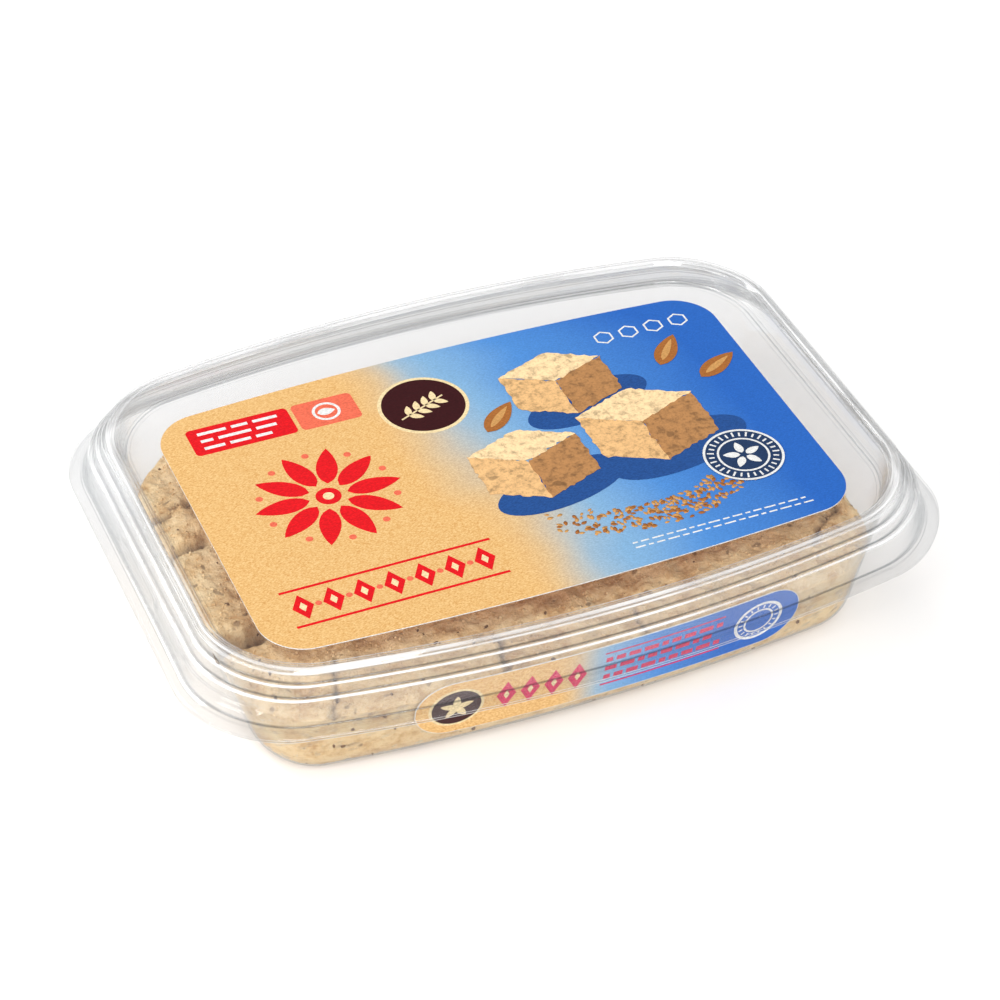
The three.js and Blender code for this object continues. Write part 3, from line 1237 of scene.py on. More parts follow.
@dataclass
class HalvaBlock:
    """The block of halva: pressed smooth against the tub, crumbly and cracked on top.

    Attributes:
        plan: The pack seen from above.
        sections: The sections of lid and tub.
        top: Height of the top without its relief.
        contact: Gap left between the block and the plastic.
        wall_steps: Steps up the wall.
        crest: Inset, drop and share of the relief of each ring round the top's edge.
        edge_width: Width of the strip with close rings, which shows beside the label.
        edge_step: Step between those rings.
        inner_step: Step between the rings under the label.
        inner_width: How far the rings go in, before the middle is closed.
        coarse: The larger lumps, as in the solid part.
        fine: The smaller lumps, as in the solid part.
        cracks: The cracks that the solid part has too.
        splits: The finer cracks, with painted shade along their bottoms.
        wander_span: Span of the noise by which a fine crack strays from its line.
        wander_reach: How far it strays.
        split_shade: How dark the painted shade at the bottom of a fine crack is.
        split_power: How fast that painted shade fades towards its sides.
        pit_start: How deep a dip between crumbs is before painted shade sets in, as a share of pit_depth.
        pit_depth: Depth over which the painted shade in a dip grows.
        pit_shade: How dark the painted shade in the deepest dips is.
        foot: Height below which voids go upwards into the block.
        foot_span: Height over which they turn from going upwards to going inwards.
        void_shade: How dark the painted shade in the deepest voids at the wall is.
        void_depth: Depth at which a void gets that much painted shade.
    """

    plan: PackPlan
    sections: PackSections
    top: float = 22.6
    contact: float = 0.03
    wall_steps: int = 30
    crest: tuple[tuple[float, float, float], ...] = (
        (-0.3, 2.0, 0.5), (0.1, 1.2, 0.65), (0.6, 0.5, 0.8), (1.3, 0.15, 0.9), (2.2, 0.0, 1.0),
    )
    edge_width: float = 24.0
    edge_step: float = 0.62
    inner_step: float = 3.0
    inner_width: float = 38.0
    coarse: Lumps = Lumps(0.9, 11, 277)
    fine: Lumps = Lumps(0.5, 5, 941)
    cracks: tuple[Crack, ...] = (
        Crack((-82, -24), (-66, -20), 2.6, 2.2),
        Crack((-81, 13), (-66, 16), 2.0, 2.4),
        Crack((-72, -49), (-62, -40), 1.4, 1.8),
        Crack((31, -58), (37, -44), 1.2, 1.8),
    )
    splits: tuple[Crack, ...] = (
        Crack((-79, -21.0), (-65.5, -20.0), 4.6, 1.9),
        Crack((-66.5, -20.5), (-57, -17), 2.0, 0.6),
        Crack((-80, 11), (-67, 16.5), 2.2, 0.9),
        Crack((-60, -52), (-55, -36), 1.8, 0.5),
        Crack((-22, -60), (-18, -42), 1.6, 0.5),
        Crack((12, -60), (14, -44), 1.5, 0.45),
        Crack((-76, 27), (-60, 30), 1.6, 0.5),
        Crack((60, -40), (72, -30), 1.8, 0.6),
        Crack((58, 30), (73, 24), 1.6, 0.5),
        Crack((-10, 46), (-4, 58), 1.8, 0.6),
    )
    wander_span: float = 3.1
    wander_reach: float = 1.5
    split_shade: float = 0.95
    split_power: float = 1.3
    pit_start: float = 0.35
    pit_depth: float = 0.75
    pit_shade: float = 0.35
    foot: float = 2.0
    foot_span: float = 6.0
    void_shade: float = 0.45
    void_depth: float = 0.9

    def wall_rings(self) -> list[tuple[float, float]]:
        """Lays out the rings pressed against the tub.

        Returns:
            The inset and height of each ring, from the floor's middle up.
        """
        floor = [(inset, height) for inset, height in reversed(self.sections.floor_path())]
        first = floor[-1][1]
        last = self.top - self.crest[0][1]
        wall = []
        for i in range(1, self.wall_steps):
            height = first + (last - first) * i / self.wall_steps
            wall.append((self.sections.wall_inset(height), height))
        return [*floor, *wall]

    def top_rings(self, edge: float) -> list[tuple[float, float, float]]:
        """Lays out the rings of the top.

        Args:
            edge: Inset of the wall's last ring.

        Returns:
            The inset, height and share of the relief of each ring.
        """
        rings = [(edge + inset, self.top - drop, share) for inset, drop, share in self.crest]
        inset = self.crest[-1][0]
        while inset < self.inner_width:
            inset += self.edge_step if inset < self.edge_width else self.inner_step
            rings.append((edge + inset, self.top, 1.0))
        return rings

    def top_relief(self, x: np.ndarray, y: np.ndarray) -> tuple[np.ndarray, np.ndarray]:
        """Relief of the top.

        Args:
            x: X of each point.
            y: Y of each point.

        Returns:
            The height to add and the painted shade in cracks and dips, as a share from 0 to 1.
        """
        height = self.coarse.at(x, y) + self.fine.at(x, y)
        for crack in self.cracks:
            height -= crack.depth * crack.amount(x, y)
        crumbs = np.array([self.crumb_height(a, b) for a, b in zip(x, y)])
        span = self.wander_span
        wander = np.array([noise.noise_vector(Vector((a / span, b / span, 4.0))) for a, b in zip(x, y)])
        wander *= self.wander_reach
        # Painted shade at the bottoms of the fine cracks.
        hollow = np.zeros(len(x))
        for split in self.splits:
            share = split.amount(x + wander[:, 0], y + wander[:, 1])
            height -= split.depth * share
            hollow = np.maximum(hollow, share**0.5)
        # Painted shade in the dips between crumbs.
        dip_shade = np.clip(-crumbs / self.pit_depth - self.pit_start, 0, 1)
        dark = np.maximum(self.split_shade * hollow**self.split_power, self.pit_shade * dip_shade)
        return height + crumbs, np.clip(dark, 0, 1)

    @staticmethod
    def crumb_height(x: float, y: float) -> float:
        """Works out the height of the crumbs and flakes at one point.

        Args:
            x: X of the point.
            y: Y of the point.

        Returns:
            The height, a few tenths of a millimetre.
        """
        lump_span, flake_length, flake_width, crumb_span = 3.4, 2.6, 1.3, 1.9
        coarse = noise.fractal(Vector((x / lump_span, y / lump_span, 1.0)), 0.75, 2.1, 4)
        flaky = noise.noise(Vector((x / flake_width + 0.8 * coarse, y / flake_length, 7.0)))
        crumbly = noise.turbulence(Vector((x / crumb_span, y / crumb_span, 3.0)), 2, True)
        return 0.7 * coarse + 0.3 * flaky + 0.45 * (crumbly - 0.4)

    def build(self, material: bpy.types.Material) -> bpy.types.Object:
        """Makes the block.

        Args:
            material: Its finish.

        Returns:
            The block, with attributes for its painted shade and for where it is pressed on the plastic.
        """
        rings = []
        shade_rings = []
        wall = self.wall_rings()
        for i, (inset, height) in enumerate(wall):
            flat = self.plan.ring(inset)
            rate = self.plan.rate(inset)
            upright = max(0.0, min(1.0, (height - self.foot) / self.foot_span))
            voids = np.array([self.wall_void(a, b, height) for a, b in flat])
            along = (voids - self.contact)[:, None] * rate * upright
            lift = np.full(len(flat), height) + (1 - upright) * (voids - self.contact)
            rings.append(np.column_stack([flat + along, lift]))
            # Painted shade in the voids against the wall.
            shade_rings.append(self.void_shade * np.clip(voids / self.void_depth, 0, 1))
        for inset, height, share in self.top_rings(wall[-1][0]):
            flat = self.plan.ring(inset)
            relief, hollow = self.top_relief(flat[:, 0], flat[:, 1])
            rings.append(np.column_stack([flat, height + share * relief]))
            shade_rings.append(hollow)
        points, faces = stacked_rings(rings)
        piece = make_piece("halva_block", points, faces)
        piece.data.materials.append(material)
        pressed = [np.full(len(ring), float(i < len(wall))) for i, ring in enumerate(rings)]
        for name, parts in (("hollow", shade_rings), ("pressed", pressed)):
            values = np.concatenate([*parts, [0.0, 0.0]])
            piece.data.attributes.new(name, "FLOAT", "POINT").data.foreach_set("value", values)
        return piece

    def host(self, block: bpy.types.Object, low: float, depth: float) -> bpy.types.Object:
        """Copies the block's surface as a host for grains.

        Args:
            block: The finished block.
            low: Height in millimetres above which grains lie.
            depth: How far the grains' middles are sunk in.

        Returns:
            The copy, with its zone attribute.
        """
        data = block.data.copy()
        place = np.empty(3 * len(data.vertices))
        normal = np.empty(3 * len(data.vertices))
        data.vertices.foreach_get("co", place)
        data.vertices.foreach_get("normal", normal)
        height = place[2::3].copy()
        data.vertices.foreach_set("co", place - normal * depth * MM)
        zone = data.attributes.new(GrainScatter.ZONE, "FLOAT", "POINT")
        zone.data.foreach_set("value", (height > low * MM).astype(float))
        host = bpy.data.objects.new("grain_host", data)
        bpy.context.scene.collection.objects.link(host)
        return host

    def crumb(self, size: float, squash: float, seed: float) -> bpy.types.Object:
        """One irregular crumb.

        Args:
            size: Its width in millimetres.
            squash: Its height as a share of its width.
            seed: Place in the noise.

        Returns:
            The crumb.
        """
        shape = bmesh.new()
        bmesh.ops.create_icosphere(shape, subdivisions=1, radius=size / 2)
        for vertex in shape.verts:
            vertex.co *= 1 + 0.35 * noise.noise(vertex.co * 3.0 + Vector((seed, 0.0, 0.0)))
            vertex.co.z *= squash
        points = np.array([vertex.co[:] for vertex in shape.verts])
        faces = [tuple(vertex.index for vertex in face.verts) for face in shape.faces]
        shape.free()
        return make_piece("crumb", points, faces)

    def strew(
        self,
        block: bpy.types.Object,
        crumb_finish: bpy.types.Material,
        fleck_finish: bpy.types.Material,
    ) -> None:
        """Strews loose crumbs on the top and sets dark flecks in the whole surface.

        Args:
            block: The finished block.
            crumb_finish: Finish of the crumbs.
            fleck_finish: Finish of the flecks.
        """
        whole = (math.tau, math.tau, math.tau)
        loose = GrainScatter.spread(
            "halva_crumbs",
            self.host(block, low=self.top - 1.6, depth=-0.1),
            self.crumb(size=1.2, squash=0.5, seed=2.0),
            Scatter(density=240000.0, smallest=0.25, largest=0.85, turn=whole, seed=5),
            crumb_finish,
        )
        place_piece(loose, Slot.HALVA)
        flecks = GrainScatter.spread(
            "halva_flecks",
            self.host(block, low=1.5, depth=0.06),
            self.crumb(size=1.5, squash=0.55, seed=9.0),
            Scatter(density=7000.0, smallest=0.3, largest=1.0, turn=whole, seed=11),
            fleck_finish,
        )
        place_piece(flecks, Slot.HALVA)

    @staticmethod
    def wall_void(x: float, y: float, height: float) -> float:
        """Works out the small voids left where the halva was pressed against the wall.

        Args:
            x: X of the point.
            y: Y of the point.
            height: Its height.

        Returns:
            Depth of the void at the point, 0 where there is none.
        """
        span, rise, deepest, slope, threshold = 2.6, 1.7, 0.6, 1.3, 0.42
        shape = noise.fractal(Vector((x / span, y / span, height / rise)), 0.8, 2.2, 3)
        return min(deepest, max(0.0, slope * (shape - threshold)))


@dataclass
class FlatShape:
    """A flat shape as points, faces and the loops that bound it, all anticlockwise outside."""

    points: list[Pair]
    faces: list[tuple[int, ...]]
    loops: list[list[int]]

    def moved(self, centre: Pair, turn: float = 0.0) -> "FlatShape":
        """Turns the shape about its origin and then moves it.

        Args:
            centre: Where its origin goes.
            turn: Its turn in radians.

        Returns:
            The new shape.
        """
        c, s = math.cos(turn), math.sin(turn)
        points = [(centre[0] + c * u - s * v, centre[1] + s * u + c * v) for u, v in self.points]
        return FlatShape(points, self.faces, self.loops)


def blob(outline: Sequence[Pair], layers: int = 1) -> FlatShape:
    """A shape that every point of its outline sees the middle of.

    Args:
        outline: Points of the outline, anticlockwise.
        layers: Rings from the middle to the outline.

    Returns:
        The filled shape.
    """
    edge = np.array(outline, float)
    middle = edge.mean(axis=0)
    count = len(edge)
    points = [tuple(middle)]
    for layer in range(1, layers + 1):
        points += [tuple(middle + (point - middle) * layer / layers) for point in edge]
    faces: list[tuple[int, ...]] = [(0, 1 + i, 1 + (i + 1) % count) for i in range(count)]
    for layer in range(1, layers):
        base = 1 + (layer - 1) * count
        for i in range(count):
            j = (i + 1) % count
            faces.append((base + i, base + count + i, base + count + j, base + j))
    last = 1 + (layers - 1) * count
    return FlatShape(points, faces, [list(range(last, last + count))])


def disc(radius: float, steps: int = 48, layers: int = 2, squash: float = 1.0) -> FlatShape:
    """A filled circle, or an ellipse squashed along its second axis."""
    turns = [2 * math.pi * i / steps for i in range(steps)]
    return blob([(radius * math.cos(t), squash * radius * math.sin(t)) for t in turns], layers)


def hoop(outer: float, inner: float, steps: int = 56) -> FlatShape:
    """A flat ring about the origin.

    Args:
        outer: Its outer radius.
        inner: Its inner radius.
        steps: Steps round it.

    Returns:
        The ring.
    """
    turns = [2 * math.pi * i / steps for i in range(steps)]
    points = [(outer * math.cos(t), outer * math.sin(t)) for t in turns]
    points += [(inner * math.cos(t), inner * math.sin(t)) for t in turns]
    faces = []
    for i in range(steps):
        j = (i + 1) % steps
        faces.append((i, j, steps + j, steps + i))
    return FlatShape(points, faces, [list(range(steps)), list(range(2 * steps - 1, steps - 1, -1))])


def bar(length: float, width: float, step: float = 4.0) -> FlatShape:
    """A straight bar from the origin along the first axis.

    Args:
        length: Its length.
        width: Its width.
        step: Longest step along it, so that it can bend with the wall.

    Returns:
        The bar.
    """
    columns = max(1, math.ceil(length / step))
    points = []
    for i in range(columns + 1):
        points += [(length * i / columns, -width / 2), (length * i / columns, width / 2)]
    faces = [(2 * i, 2 * i + 2, 2 * i + 3, 2 * i + 1) for i in range(columns)]
    low = [2 * i for i in range(columns + 1)]
    high = [2 * i + 1 for i in reversed(range(columns + 1))]
    return FlatShape(points, faces, [low + high])


def petal(length: float, width: float, steps: int = 10) -> FlatShape:
    """A pointed petal from the origin along the first axis.

    Args:
        length: Its length.
        width: Its width at the widest.
        steps: Steps along each side.

    Returns:
        The petal.
    """
    shares = [i / steps for i in range(steps + 1)]
    side = [(length * s, 0.5 * width * math.sin(math.pi * s**0.8) ** 0.8) for s in shares]
    low = [(u, -v) for u, v in side]
    high = [(u, v) for u, v in reversed(side[1:-1])]
    return blob(low + high)


def lozenge(half_length: float, half_width: float) -> FlatShape:
    """A lozenge about the origin."""
    return blob([(half_length, 0), (0, half_width), (-half_length, 0), (0, -half_width)])


def panel(width: float, height: float, radius: float = 1.2, steps: int = 5) -> FlatShape:
    """A rectangle with rounded corners about the origin.

    Args:
        width: Its width.
        height: Its height.
        radius: Radius of its corners.
        steps: Steps round each corner.

    Returns:
        The rectangle.
    """
    outline = []
    for k, (su, sv) in enumerate(((1, 1), (-1, 1), (-1, -1), (1, -1))):
        for i in range(steps + 1):
            turn = (k + i / steps) * math.pi / 2
            outline.append((
                su * (width / 2 - radius) + radius * math.cos(turn),
                sv * (height / 2 - radius) + radius * math.sin(turn),
            ))
    return blob(outline)


def crumbled(corners: Sequence[Pair], step: float, jitter: float, seed: float) -> FlatShape:
    """A polygon whose sides are broken up like cut halva.

    Args:
        corners: The corners, anticlockwise.
        step: Length of one break along a side.
        jitter: How far the breaks stand off the side.
        seed: Place in the noise.

    Returns:
        The filled shape.
    """
    outline = []
    for start, end in zip(corners, [*corners[1:], corners[0]]):
        count = max(2, round(math.dist(start, end) / step))
        for i in range(count):
            u = start[0] + (end[0] - start[0]) * i / count
            v = start[1] + (end[1] - start[1]) * i / count
            shift = noise.noise_vector(Vector((u * 0.9, v * 0.9, seed)))
            outline.append((u + jitter * shift.x, v + jitter * shift.y))
    return blob(outline)


@dataclass
class Print:
    """The print on one label: flat shapes laid on its surface, one piece for each ink.

    Attributes:
        name: Start of the pieces' names.
        surface: Turns a place on the label and a height above it into a point.
        slot: The label's material slot.
    """

    name: str
    surface: Callable[[float, float, float], tuple[float, float, float]]
    slot: Slot
    layer: float = 0.03
    shapes: dict[Ink, list[tuple[FlatShape, int]]] = field(default_factory=dict)

    def add(self, ink: Ink, shape: FlatShape, level: int = 1) -> None:
        """Lays a shape on the label, on a level counted from the paper up."""
        self.shapes.setdefault(ink, []).append((shape, level))

    def solid(
        self, shape: FlatShape, level: int
    ) -> tuple[list[tuple[float, ...]], list[tuple[int, ...]]]:
        """Turns a flat shape into a thin closed layer on the label.

        Args:
            shape: The flat shape.
            level: Its level, counted from the paper up.

        Returns:
            The layer's points and its faces.
        """
        low = (level - 1) * self.layer + 0.01
        high = level * self.layer + 0.01
        count = len(shape.points)
        points = [self.surface(u, v, high) for u, v in shape.points]
        points += [self.surface(u, v, low) for u, v in shape.points]
        faces = list(shape.faces)
        faces += [tuple(count + i for i in reversed(face)) for face in shape.faces]
        for loop in shape.loops:
            for a, b in zip(loop, [*loop[1:], loop[0]]):
                faces.append((a, count + a, count + b, b))
        return points, faces

    def build(self, finishes: dict[Ink, bpy.types.Material]) -> None:
        """Makes one piece for each ink.

        Args:
            finishes: The finish of each ink.
        """
        for ink, shapes in self.shapes.items():
            points: list[tuple[float, ...]] = []
            faces: list[tuple[int, ...]] = []
            for shape, level in shapes:
                new_points, new_faces = self.solid(shape, level)
                faces += [tuple(len(points) + i for i in face) for face in new_faces]
                points += new_points
            piece = make_piece(f"{self.name}_{ink.name.lower()}", np.array(points), faces, smooth=False)
            piece.data.materials.append(finishes[ink])
            place_piece(piece, self.slot)


@dataclass
class LidLabel:
    """The label on the lid's panel: white-edged paper with its printed field and pictures."""

    sections: PackSections
    half_length: float = 71.0
    half_width: float = 41.25
    bow: float = 5.13
    reach: float = 90.0
    radius: float = 9.8
    lift: float = 0.05
    thickness: float = 0.25
    margin: float = 0.02
    field_height: float = 0.02

    @property
    def face_height(self) -> float:
        """Height of the paper's upper face."""
        return self.sections.panel_height + self.lift + self.thickness

    def sheet(
        self, name: str, inset: float, low: float, high: float, material: bpy.types.Material
    ) -> bpy.types.Object:
        """Makes a flat sheet with the label's outline.

        Args:
            name: The piece's name.
            inset: How far its edge is inside the label's.
            low: Height of its lower face.
            high: Height of its upper face.
            material: Its finish.

        Returns:
            The piece.
        """
        outline = BowedOutline(
            self.half_length - inset,
            self.half_width - inset,
            self.bow,
            self.reach,
            self.radius - inset,
        ).ring()
        rings = [np.column_stack([outline, np.full(len(outline), height)]) for height in (low, high)]
        piece = make_piece(name, *stacked_rings(rings), smooth=False)
        piece.data.materials.append(material)
        return piece

    def point(self, u: float, v: float, height: float) -> tuple[float, float, float]:
        """A point above the printed field."""
        return (u, v, self.face_height + self.field_height + height)

    def draw(self, ink: Print) -> None:
        """Draws the label's generic design.

        Args:
            ink: The print.
        """
        self.draw_band(ink)
        self.draw_blossom(ink, (-41.0, 3.5), 17.5)
        self.draw_panels(ink)
        self.draw_badge(ink, (-8.5, 27.0), 10.0)
        self.draw_cakes(ink)
        self.draw_ring(ink, (53.0, -19.0), 9.5)
        self.draw_small_marks(ink)

    def draw_band(self, ink: Print) -> None:
        """A row of lozenges between two thin rules, along the lower left.

        Args:
            ink: The print.
        """
        left, right, low, high = -63.0, -13.0, -36.5, -24.5
        for v in (low, high):
            ink.add(Ink.RED, bar(right - left, 0.7).moved((left, v)))
        count = 7
        pitch = (right - left) / count
        for i in range(count):
            centre = (left + pitch * (i + 0.5), (low + high) / 2)
            ink.add(Ink.RED, lozenge(2.5, 4.2).moved(centre))
            ink.add(Ink.CREAM, lozenge(0.9, 1.6).moved(centre), 2)
            if i:
                ink.add(Ink.CORAL, disc(0.75, 16, 1).moved((left + pitch * i, (low + high) / 2)))

    def draw_blossom(self, ink: Print, centre: Pair, reach: float) -> None:
        """A large open blossom of pointed petals.

        Args:
            ink: The print.
            centre: Its middle.
            reach: Its radius.
        """
        petals = 10
        for i in range(petals):
            turn = 2 * math.pi * i / petals
            start = (centre[0] + 0.26 * reach * math.cos(turn), centre[1] + 0.26 * reach * math.sin(turn))
            ink.add(Ink.RED, petal(0.74 * reach, 0.29 * reach).moved(start, turn))
            half = turn + math.pi / petals
            tip = (centre[0] + 0.9 * reach * math.cos(half), centre[1] + 0.9 * reach * math.sin(half))
            ink.add(Ink.CORAL, disc(0.05 * reach, 14, 1).moved(tip))
        ink.add(Ink.RED, disc(0.17 * reach).moved(centre))
        ink.add(Ink.CREAM, disc(0.075 * reach, 24).moved(centre), 2)

    def draw_panels(self, ink: Print) -> None:
        """Two panels side by side along the upper left, with rows of dashes.

        Args:
            ink: The print.
        """
        ink.add(Ink.RED, panel(25.0, 10.0).moved((-51.5, 33.5)))
        ink.add(Ink.CORAL, panel(15.0, 10.0).moved((-30.5, 33.5)))
        for row, lengths in enumerate(((7, 4, 6), (3, 8, 5), (5, 5, 4))):
            u = -61.5
            for length in lengths:
                ink.add(Ink.WHITE, bar(length, 1.0).moved((u, 36.3 - 2.8 * row)), 2)
                u += length + 1.3
        ink.add(Ink.WHITE, hoop(3.4, 2.7).moved((-30.5, 33.5)), 2)
        ink.add(Ink.WHITE, petal(4.4, 2.6).moved((-32.7, 33.5)), 2)

    def draw_badge(self, ink: Print, centre: Pair, radius: float) -> None:
        """A round dark badge with a pale rim and a sprig.

        Args:
            ink: The print.
            centre: Its middle.
            radius: Its radius.
        """
        ink.add(Ink.CREAM, disc(radius + 0.9, 64).moved(centre))
        ink.add(Ink.BROWN, disc(radius, 64).moved(centre), 2)
        stem = 1.35 * radius
        lean = 0.42
        foot = (centre[0] - 0.5 * stem, centre[1] - 0.35 * radius)
        ink.add(Ink.CREAM, bar(stem, 0.45).moved(foot, lean), 3)
        for i in range(4):
            u = foot[0] + stem * (0.18 + 0.2 * i) * math.cos(lean)
            v = foot[1] + stem * (0.18 + 0.2 * i) * math.sin(lean)
            for side in (1, -1):
                ink.add(Ink.CREAM, petal(3.6, 1.7).moved((u, v), lean + side * 0.95), 3)

    def draw_cakes(self, ink: Print) -> None:
        """Cut cubes of halva with sesame pods beside them.

        Args:
            ink: The print.
        """
        cubes = (((24.0, 19.0), 1.1), ((6.0, -7.5), 1.15), ((36.5, -5.0), 1.25))
        for seed, (corner, scale) in enumerate(cubes):
            shade = disc(15.0 * scale, 40, 1, 0.42).moved((corner[0] + 4.0, corner[1] - 5.5), 0.2)
            ink.add(Ink.SHADE_BLUE, shade, 1 + seed)
        for seed, (corner, scale) in enumerate(cubes):
            self.draw_cube(ink, corner, scale, 3.0 * seed)
        for centre, turn in (((50.0, 20.0), 0.9), ((57.0, 12.0), 0.5), ((1.5, 11.5), 0.75)):
            ink.add(Ink.POD, petal(13.0, 5.4).moved(centre, turn), 4)
            inner = (centre[0] + 2.0 * math.cos(turn), centre[1] + 2.0 * math.sin(turn))
            ink.add(Ink.SEED, petal(9.0, 1.8).moved(inner, turn), 5)

    def draw_cube(self, ink: Print, corner: Pair, scale: float, seed: float) -> None:
        """One cut cube, seen from above one corner.

        Args:
            ink: The print.
            corner: Its near lower corner.
            scale: Its size, 1 for sides of about 15 mm.
            seed: Place in the noise for its broken sides.
        """
        right = np.array((12.5, 4.8)) * scale
        left = np.array((-11.0, 5.6)) * scale
        rise = np.array((0.0, 12.5)) * scale
        near = np.array(corner) + (0.0, -9.0)
        crown = near + rise
        faces = (
            (Ink.CAKE_LEFT, (near, crown, crown + left, near + left)),
            (Ink.CAKE_RIGHT, (near, near + right, crown + right, crown)),
            (Ink.CAKE_TOP, (crown, crown + right, crown + right + left, crown + left)),
        )
        for level, (shade, corners) in enumerate(faces):
            loop = [tuple(point) for point in corners]
            if shade is Ink.CAKE_LEFT:
                loop.reverse()
            ink.add(shade, crumbled(loop, 1.1, 0.75, seed + level), 4 + level)

    def draw_ring(self, ink: Print, centre: Pair, radius: float) -> None:
        """A white ring with short ticks round a small star.

        Args:
            ink: The print.
            centre: Its middle.
            radius: Its radius.
        """
        ink.add(Ink.NAVY, disc(radius).moved(centre), 7)
        ink.add(Ink.WHITE, hoop(radius, radius - 0.6).moved(centre), 8)
        ink.add(Ink.WHITE, hoop(radius - 3.3, radius - 3.8).moved(centre), 8)
        ticks = 30
        inner = radius - 2.6
        for i in range(ticks):
            turn = 2 * math.pi * i / ticks
            start = (centre[0] + inner * math.cos(turn), centre[1] + inner * math.sin(turn))
            ink.add(Ink.WHITE, bar(1.3 + 0.3 * (i % 2), 0.45).moved(start, turn), 8)
        for i in range(5):
            turn = math.pi / 2 + 2 * math.pi * i / 5
            start = (centre[0] + 0.8 * math.cos(turn), centre[1] + 0.8 * math.sin(turn))
            ink.add(Ink.WHITE, petal(4.0, 2.0).moved(start, turn), 8)

    def draw_small_marks(self, ink: Print) -> None:
        """A row of small hexagons at the upper right and two rows of fine dashes below.

        Args:
            ink: The print.
        """
        for i in range(4):
            ink.add(Ink.WHITE, hoop(2.6, 2.1, 6).moved((42.0 + 6.6 * i, 35.5), math.pi / 6))
        for row in range(2):
            u = 16.0
            for i in range(16):
                length = 1.2 + 1.6 * ((7 * i + 3 * row) % 5) / 4
                ink.add(Ink.WHITE, bar(length, 0.42).moved((u, -38.2 - 1.7 * row)))
                u += length + 0.8

    def strew_seeds(self, ink: Print, finishes: dict[Ink, bpy.types.Material]) -> None:
        """Prints strewn sesame seeds in an arc below the cubes, in two colours.

        Args:
            ink: The print.
            finishes: The finish of each ink.
        """
        for number, (tint, density) in enumerate(((Ink.SEED, 1000000.0), (Ink.POD, 450000.0))):
            seed = ink.solid(petal(1.6, 0.9, 5), 1)
            low = self.face_height + self.field_height
            points = np.array(seed[0]) - (1.0, 0.0, low)
            grain = make_piece("seed", points, seed[1])
            turns = np.linspace(-2.6, -0.35, 40)
            middle = (27.0, -9.0)
            outer, inner = (
                [(middle[0] + along * math.cos(t), middle[1] + across * math.sin(t)) for t in turns]
                for along, across in ((36.0, 26.0), (26.0, 17.5))
            )
            arc = np.array([(*point, low + ink.layer * number) for point in (*outer, *inner)])
            count = len(turns)
            faces = [(i, i + 1, count + i + 1, count + i) for i in range(count - 1)]
            data = bpy.data.meshes.new("seed_host")
            data.from_pydata((arc * MM).tolist(), [], faces)
            fade = np.sin(np.linspace(0.0, math.pi, count)) ** 1.5
            zone = data.attributes.new(GrainScatter.ZONE, "FLOAT", "POINT")
            zone.data.foreach_set("value", np.concatenate([0.25 * fade, fade]))
            host = bpy.data.objects.new("seed_host", data)
            bpy.context.scene.collection.objects.link(host)
            piece = GrainScatter.spread(
                f"{ink.name}_seeds_{tint.name.lower()}",
                host,
                grain,
                Scatter(density, smallest=0.8, largest=1.15, turn=(0.0, 0.0, math.tau), seed=21 + number),
                finishes[tint],
            )
            place_piece(piece, Slot.LID_LABEL)

    def build(self, paper: bpy.types.Material, fade: bpy.types.Material) -> None:
        """Makes the paper and its printed field.

        Args:
            paper: Finish of the paper.
            fade: Finish of the printed field.
        """
        low = self.sections.panel_height + self.lift
        sheet = self.sheet("lid_label_paper", 0.0, low, self.face_height, paper)
        place_piece(sheet, Slot.LID_LABEL, "top_label")
        high = self.face_height + self.field_height
        printed = self.sheet("lid_label_field", self.margin, self.face_height, high, fade)
        place_piece(printed, Slot.LID_LABEL)


